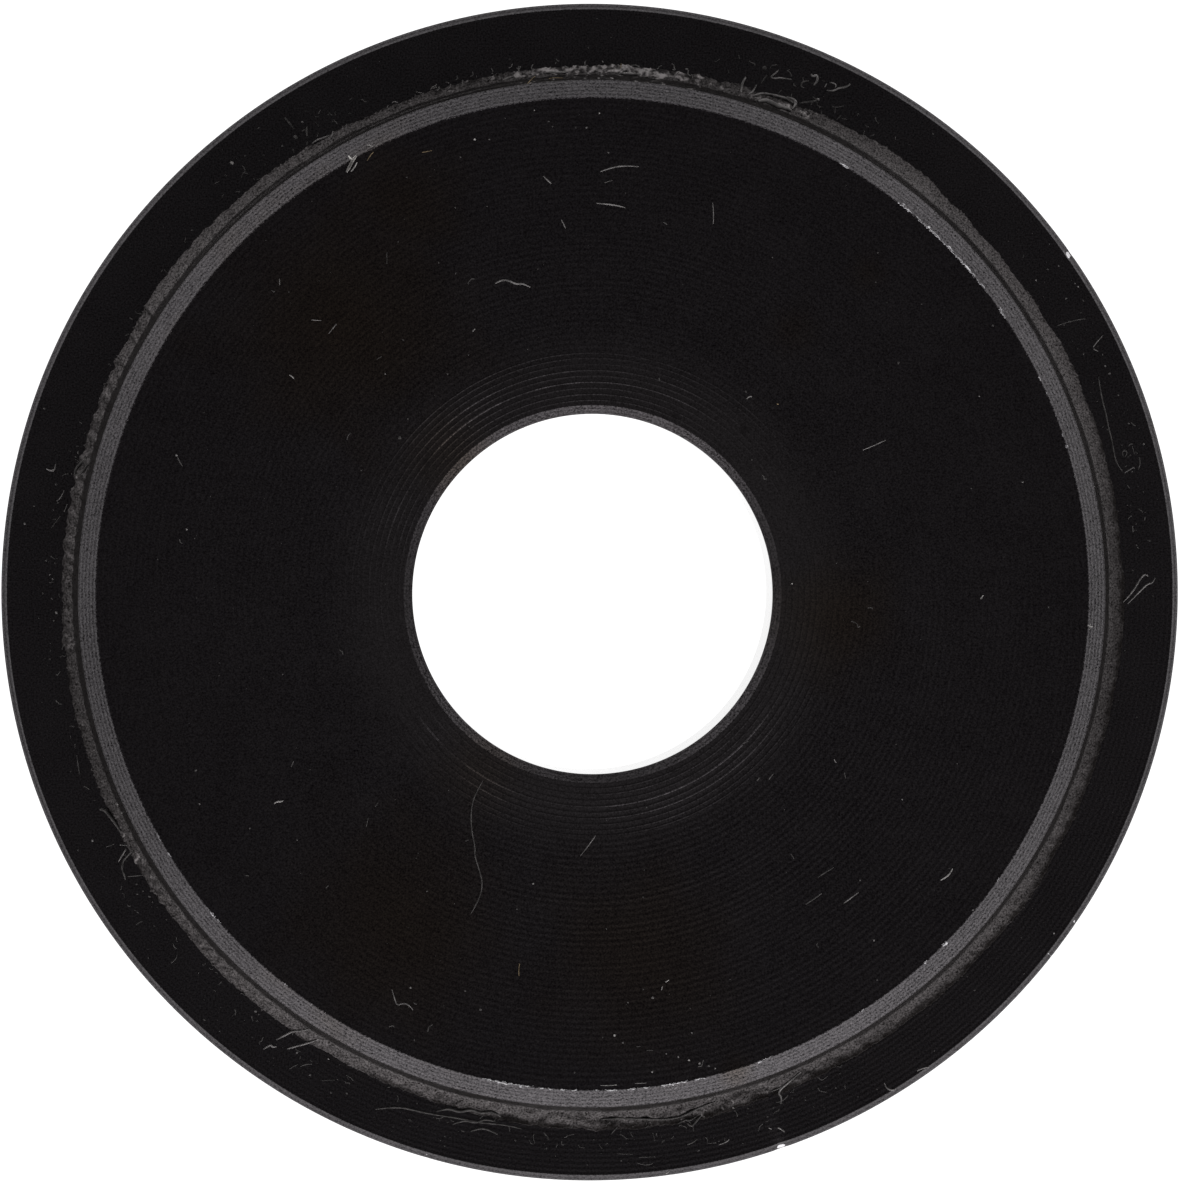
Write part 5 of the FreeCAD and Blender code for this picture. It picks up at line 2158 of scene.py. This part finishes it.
@dataclass
class Studio:
    """A pale table, soft light from all round and a camera almost straight above.

    Attributes:
        tilt: Angle between the line of sight and the washer's axis, in degrees.
        side: The way the camera leans off the axis.
        distance: From the camera to the flange's front, in mm.
        frame_width: What the picture spans at the flange's front, in mm.
        aim: Where the middle of the picture meets the flange's front, in mm.
        table_gap: From the washer's back down to the table, in mm.
        table_reach: From the table's middle to its edges, in metres.
        glow: How brightly the table shines near the washer and far off.
        glow_radii: How far from the washer's middle it starts to fade and is faded, in mm.
        walls: The sine of the elevation at which the walls end and at which overhead starts.
    """

    sizes: WasherSizes
    tilt: float = 1.8
    side: tuple[float, float] = (-0.83, 0.56)
    distance: float = 400.0
    frame_width: float = 40.76
    aim: tuple[float, float] = (0.3235, -0.2474)
    sensor: float = 36.0
    table_gap: float = 0.02
    table_reach: float = 1.5
    table: Colour = (0.35, 0.35, 0.35, 1.0)
    glow: tuple[float, float] = (1.14, 0.25)
    glow_radii: tuple[float, float] = (36.0, 120.0)
    horizon: float = 0.25
    zenith: float = 0.025
    walls: tuple[float, float] = (0.15, 0.82)
    light: Colour = (1.02, 0.985, 1.0, 1.0)

    def build(self) -> None:
        """Makes floor, light and camera."""
        self.floor()
        self.surroundings()
        self.camera()
        bpy.context.scene.view_settings.view_transform = "Standard"

    def floor(self) -> None:
        """A white table, lit from inside, a hair under the washer's back so that the two don't mix."""
        reach, level = self.table_reach, -self.table_gap * MM
        corners = ((-1, -1), (1, -1), (1, 1), (-1, 1))
        mesh = bpy.data.meshes.new("floor")
        mesh.from_pydata([(x * reach, y * reach, level) for x, y in corners], [], [(0, 1, 2, 3)])
        material, graph, output = shader_graph("table")
        glow = graph.ramp(graph.length(graph.millimetres()), *self.glow_radii, *self.glow)
        table = graph.node("ShaderNodeBsdfPrincipled", inputs={
            "Base Color": self.table, "Roughness": 0.9, "Specular IOR Level": 0.0,
            "Emission Color": (1.0, 1.0, 1.0, 1.0), "Emission Strength": glow})
        graph.feed(output.inputs["Surface"], table.outputs[0])
        mesh.materials.append(material)
        add_object("floor", mesh)

    def surroundings(self) -> None:
        """A studio that is bright all round and dark overhead, where the camera hangs."""
        world = bpy.data.worlds.new("studio")
        bpy.context.scene.world = world
        world.use_nodes = True
        graph = NodeGraph(world.node_tree)
        output = graph.node("ShaderNodeOutputWorld")
        towards = graph.node("ShaderNodeTexCoord").outputs["Generated"]
        upwards = graph.dot(towards, (0.0, 0.0, 1.0))
        level = graph.ramp(upwards, *self.walls, self.horizon, self.zenith)
        for lobe in STUDIO_LIGHTS:
            facing = graph.math("MAXIMUM", graph.dot(towards, lobe.direction()), 0.0)
            patch = graph.math("MULTIPLY", graph.math("POWER", facing, lobe.sharpness), lobe.level)
            level = graph.math("ADD", level, patch)
        light = graph.node("ShaderNodeBackground", inputs={"Color": self.light, "Strength": level})
        graph.feed(output.inputs["Surface"], light.outputs[0])

    def camera(self) -> None:
        """A long lens, a little to the upper left of the axis."""
        data = bpy.data.cameras.new("camera")
        data.sensor_width = self.sensor
        data.lens = self.sensor * self.distance / self.frame_width
        data.clip_start, data.clip_end = 0.01, 10.0
        camera = add_object("camera", data)
        lean = math.radians(self.tilt)
        side = Vector((*self.side, 0)).normalized()
        back = side * math.sin(lean) + Vector((0, 0, 1)) * math.cos(lean)
        target = Vector((*self.aim, self.sizes.flange_thickness)) * MM
        camera.location = target + back * self.distance * MM
        right = Vector((0, 1, 0)).cross(back).normalized()
        camera.rotation_euler = Matrix((right, back.cross(right), back)).transposed().to_euler()
        bpy.context.scene.camera = camera


def main() -> None:
    """Builds the washer's skin, its burr, the oil bead, lint, dust and the studio, in that order."""
    logging.basicConfig(level=logging.INFO, format="%(name)s: %(message)s")
    sizes = WasherSizes.from_frame(frame)
    sight = Sight()
    finishes = Finishes()
    oxide = BlackOxide().material(sight)
    bead = OilBead(sizes)
    TurnedSkin(sizes).build(oxide)
    EdgeBurr(sizes).build(oxide)
    bead.build(OilFilm())
    Lint(Ground(sizes, bead), sight, finishes).build()
    Dust(sizes, finishes).build()
    Studio(sizes).build()


if __name__ == "__main__":
    main()
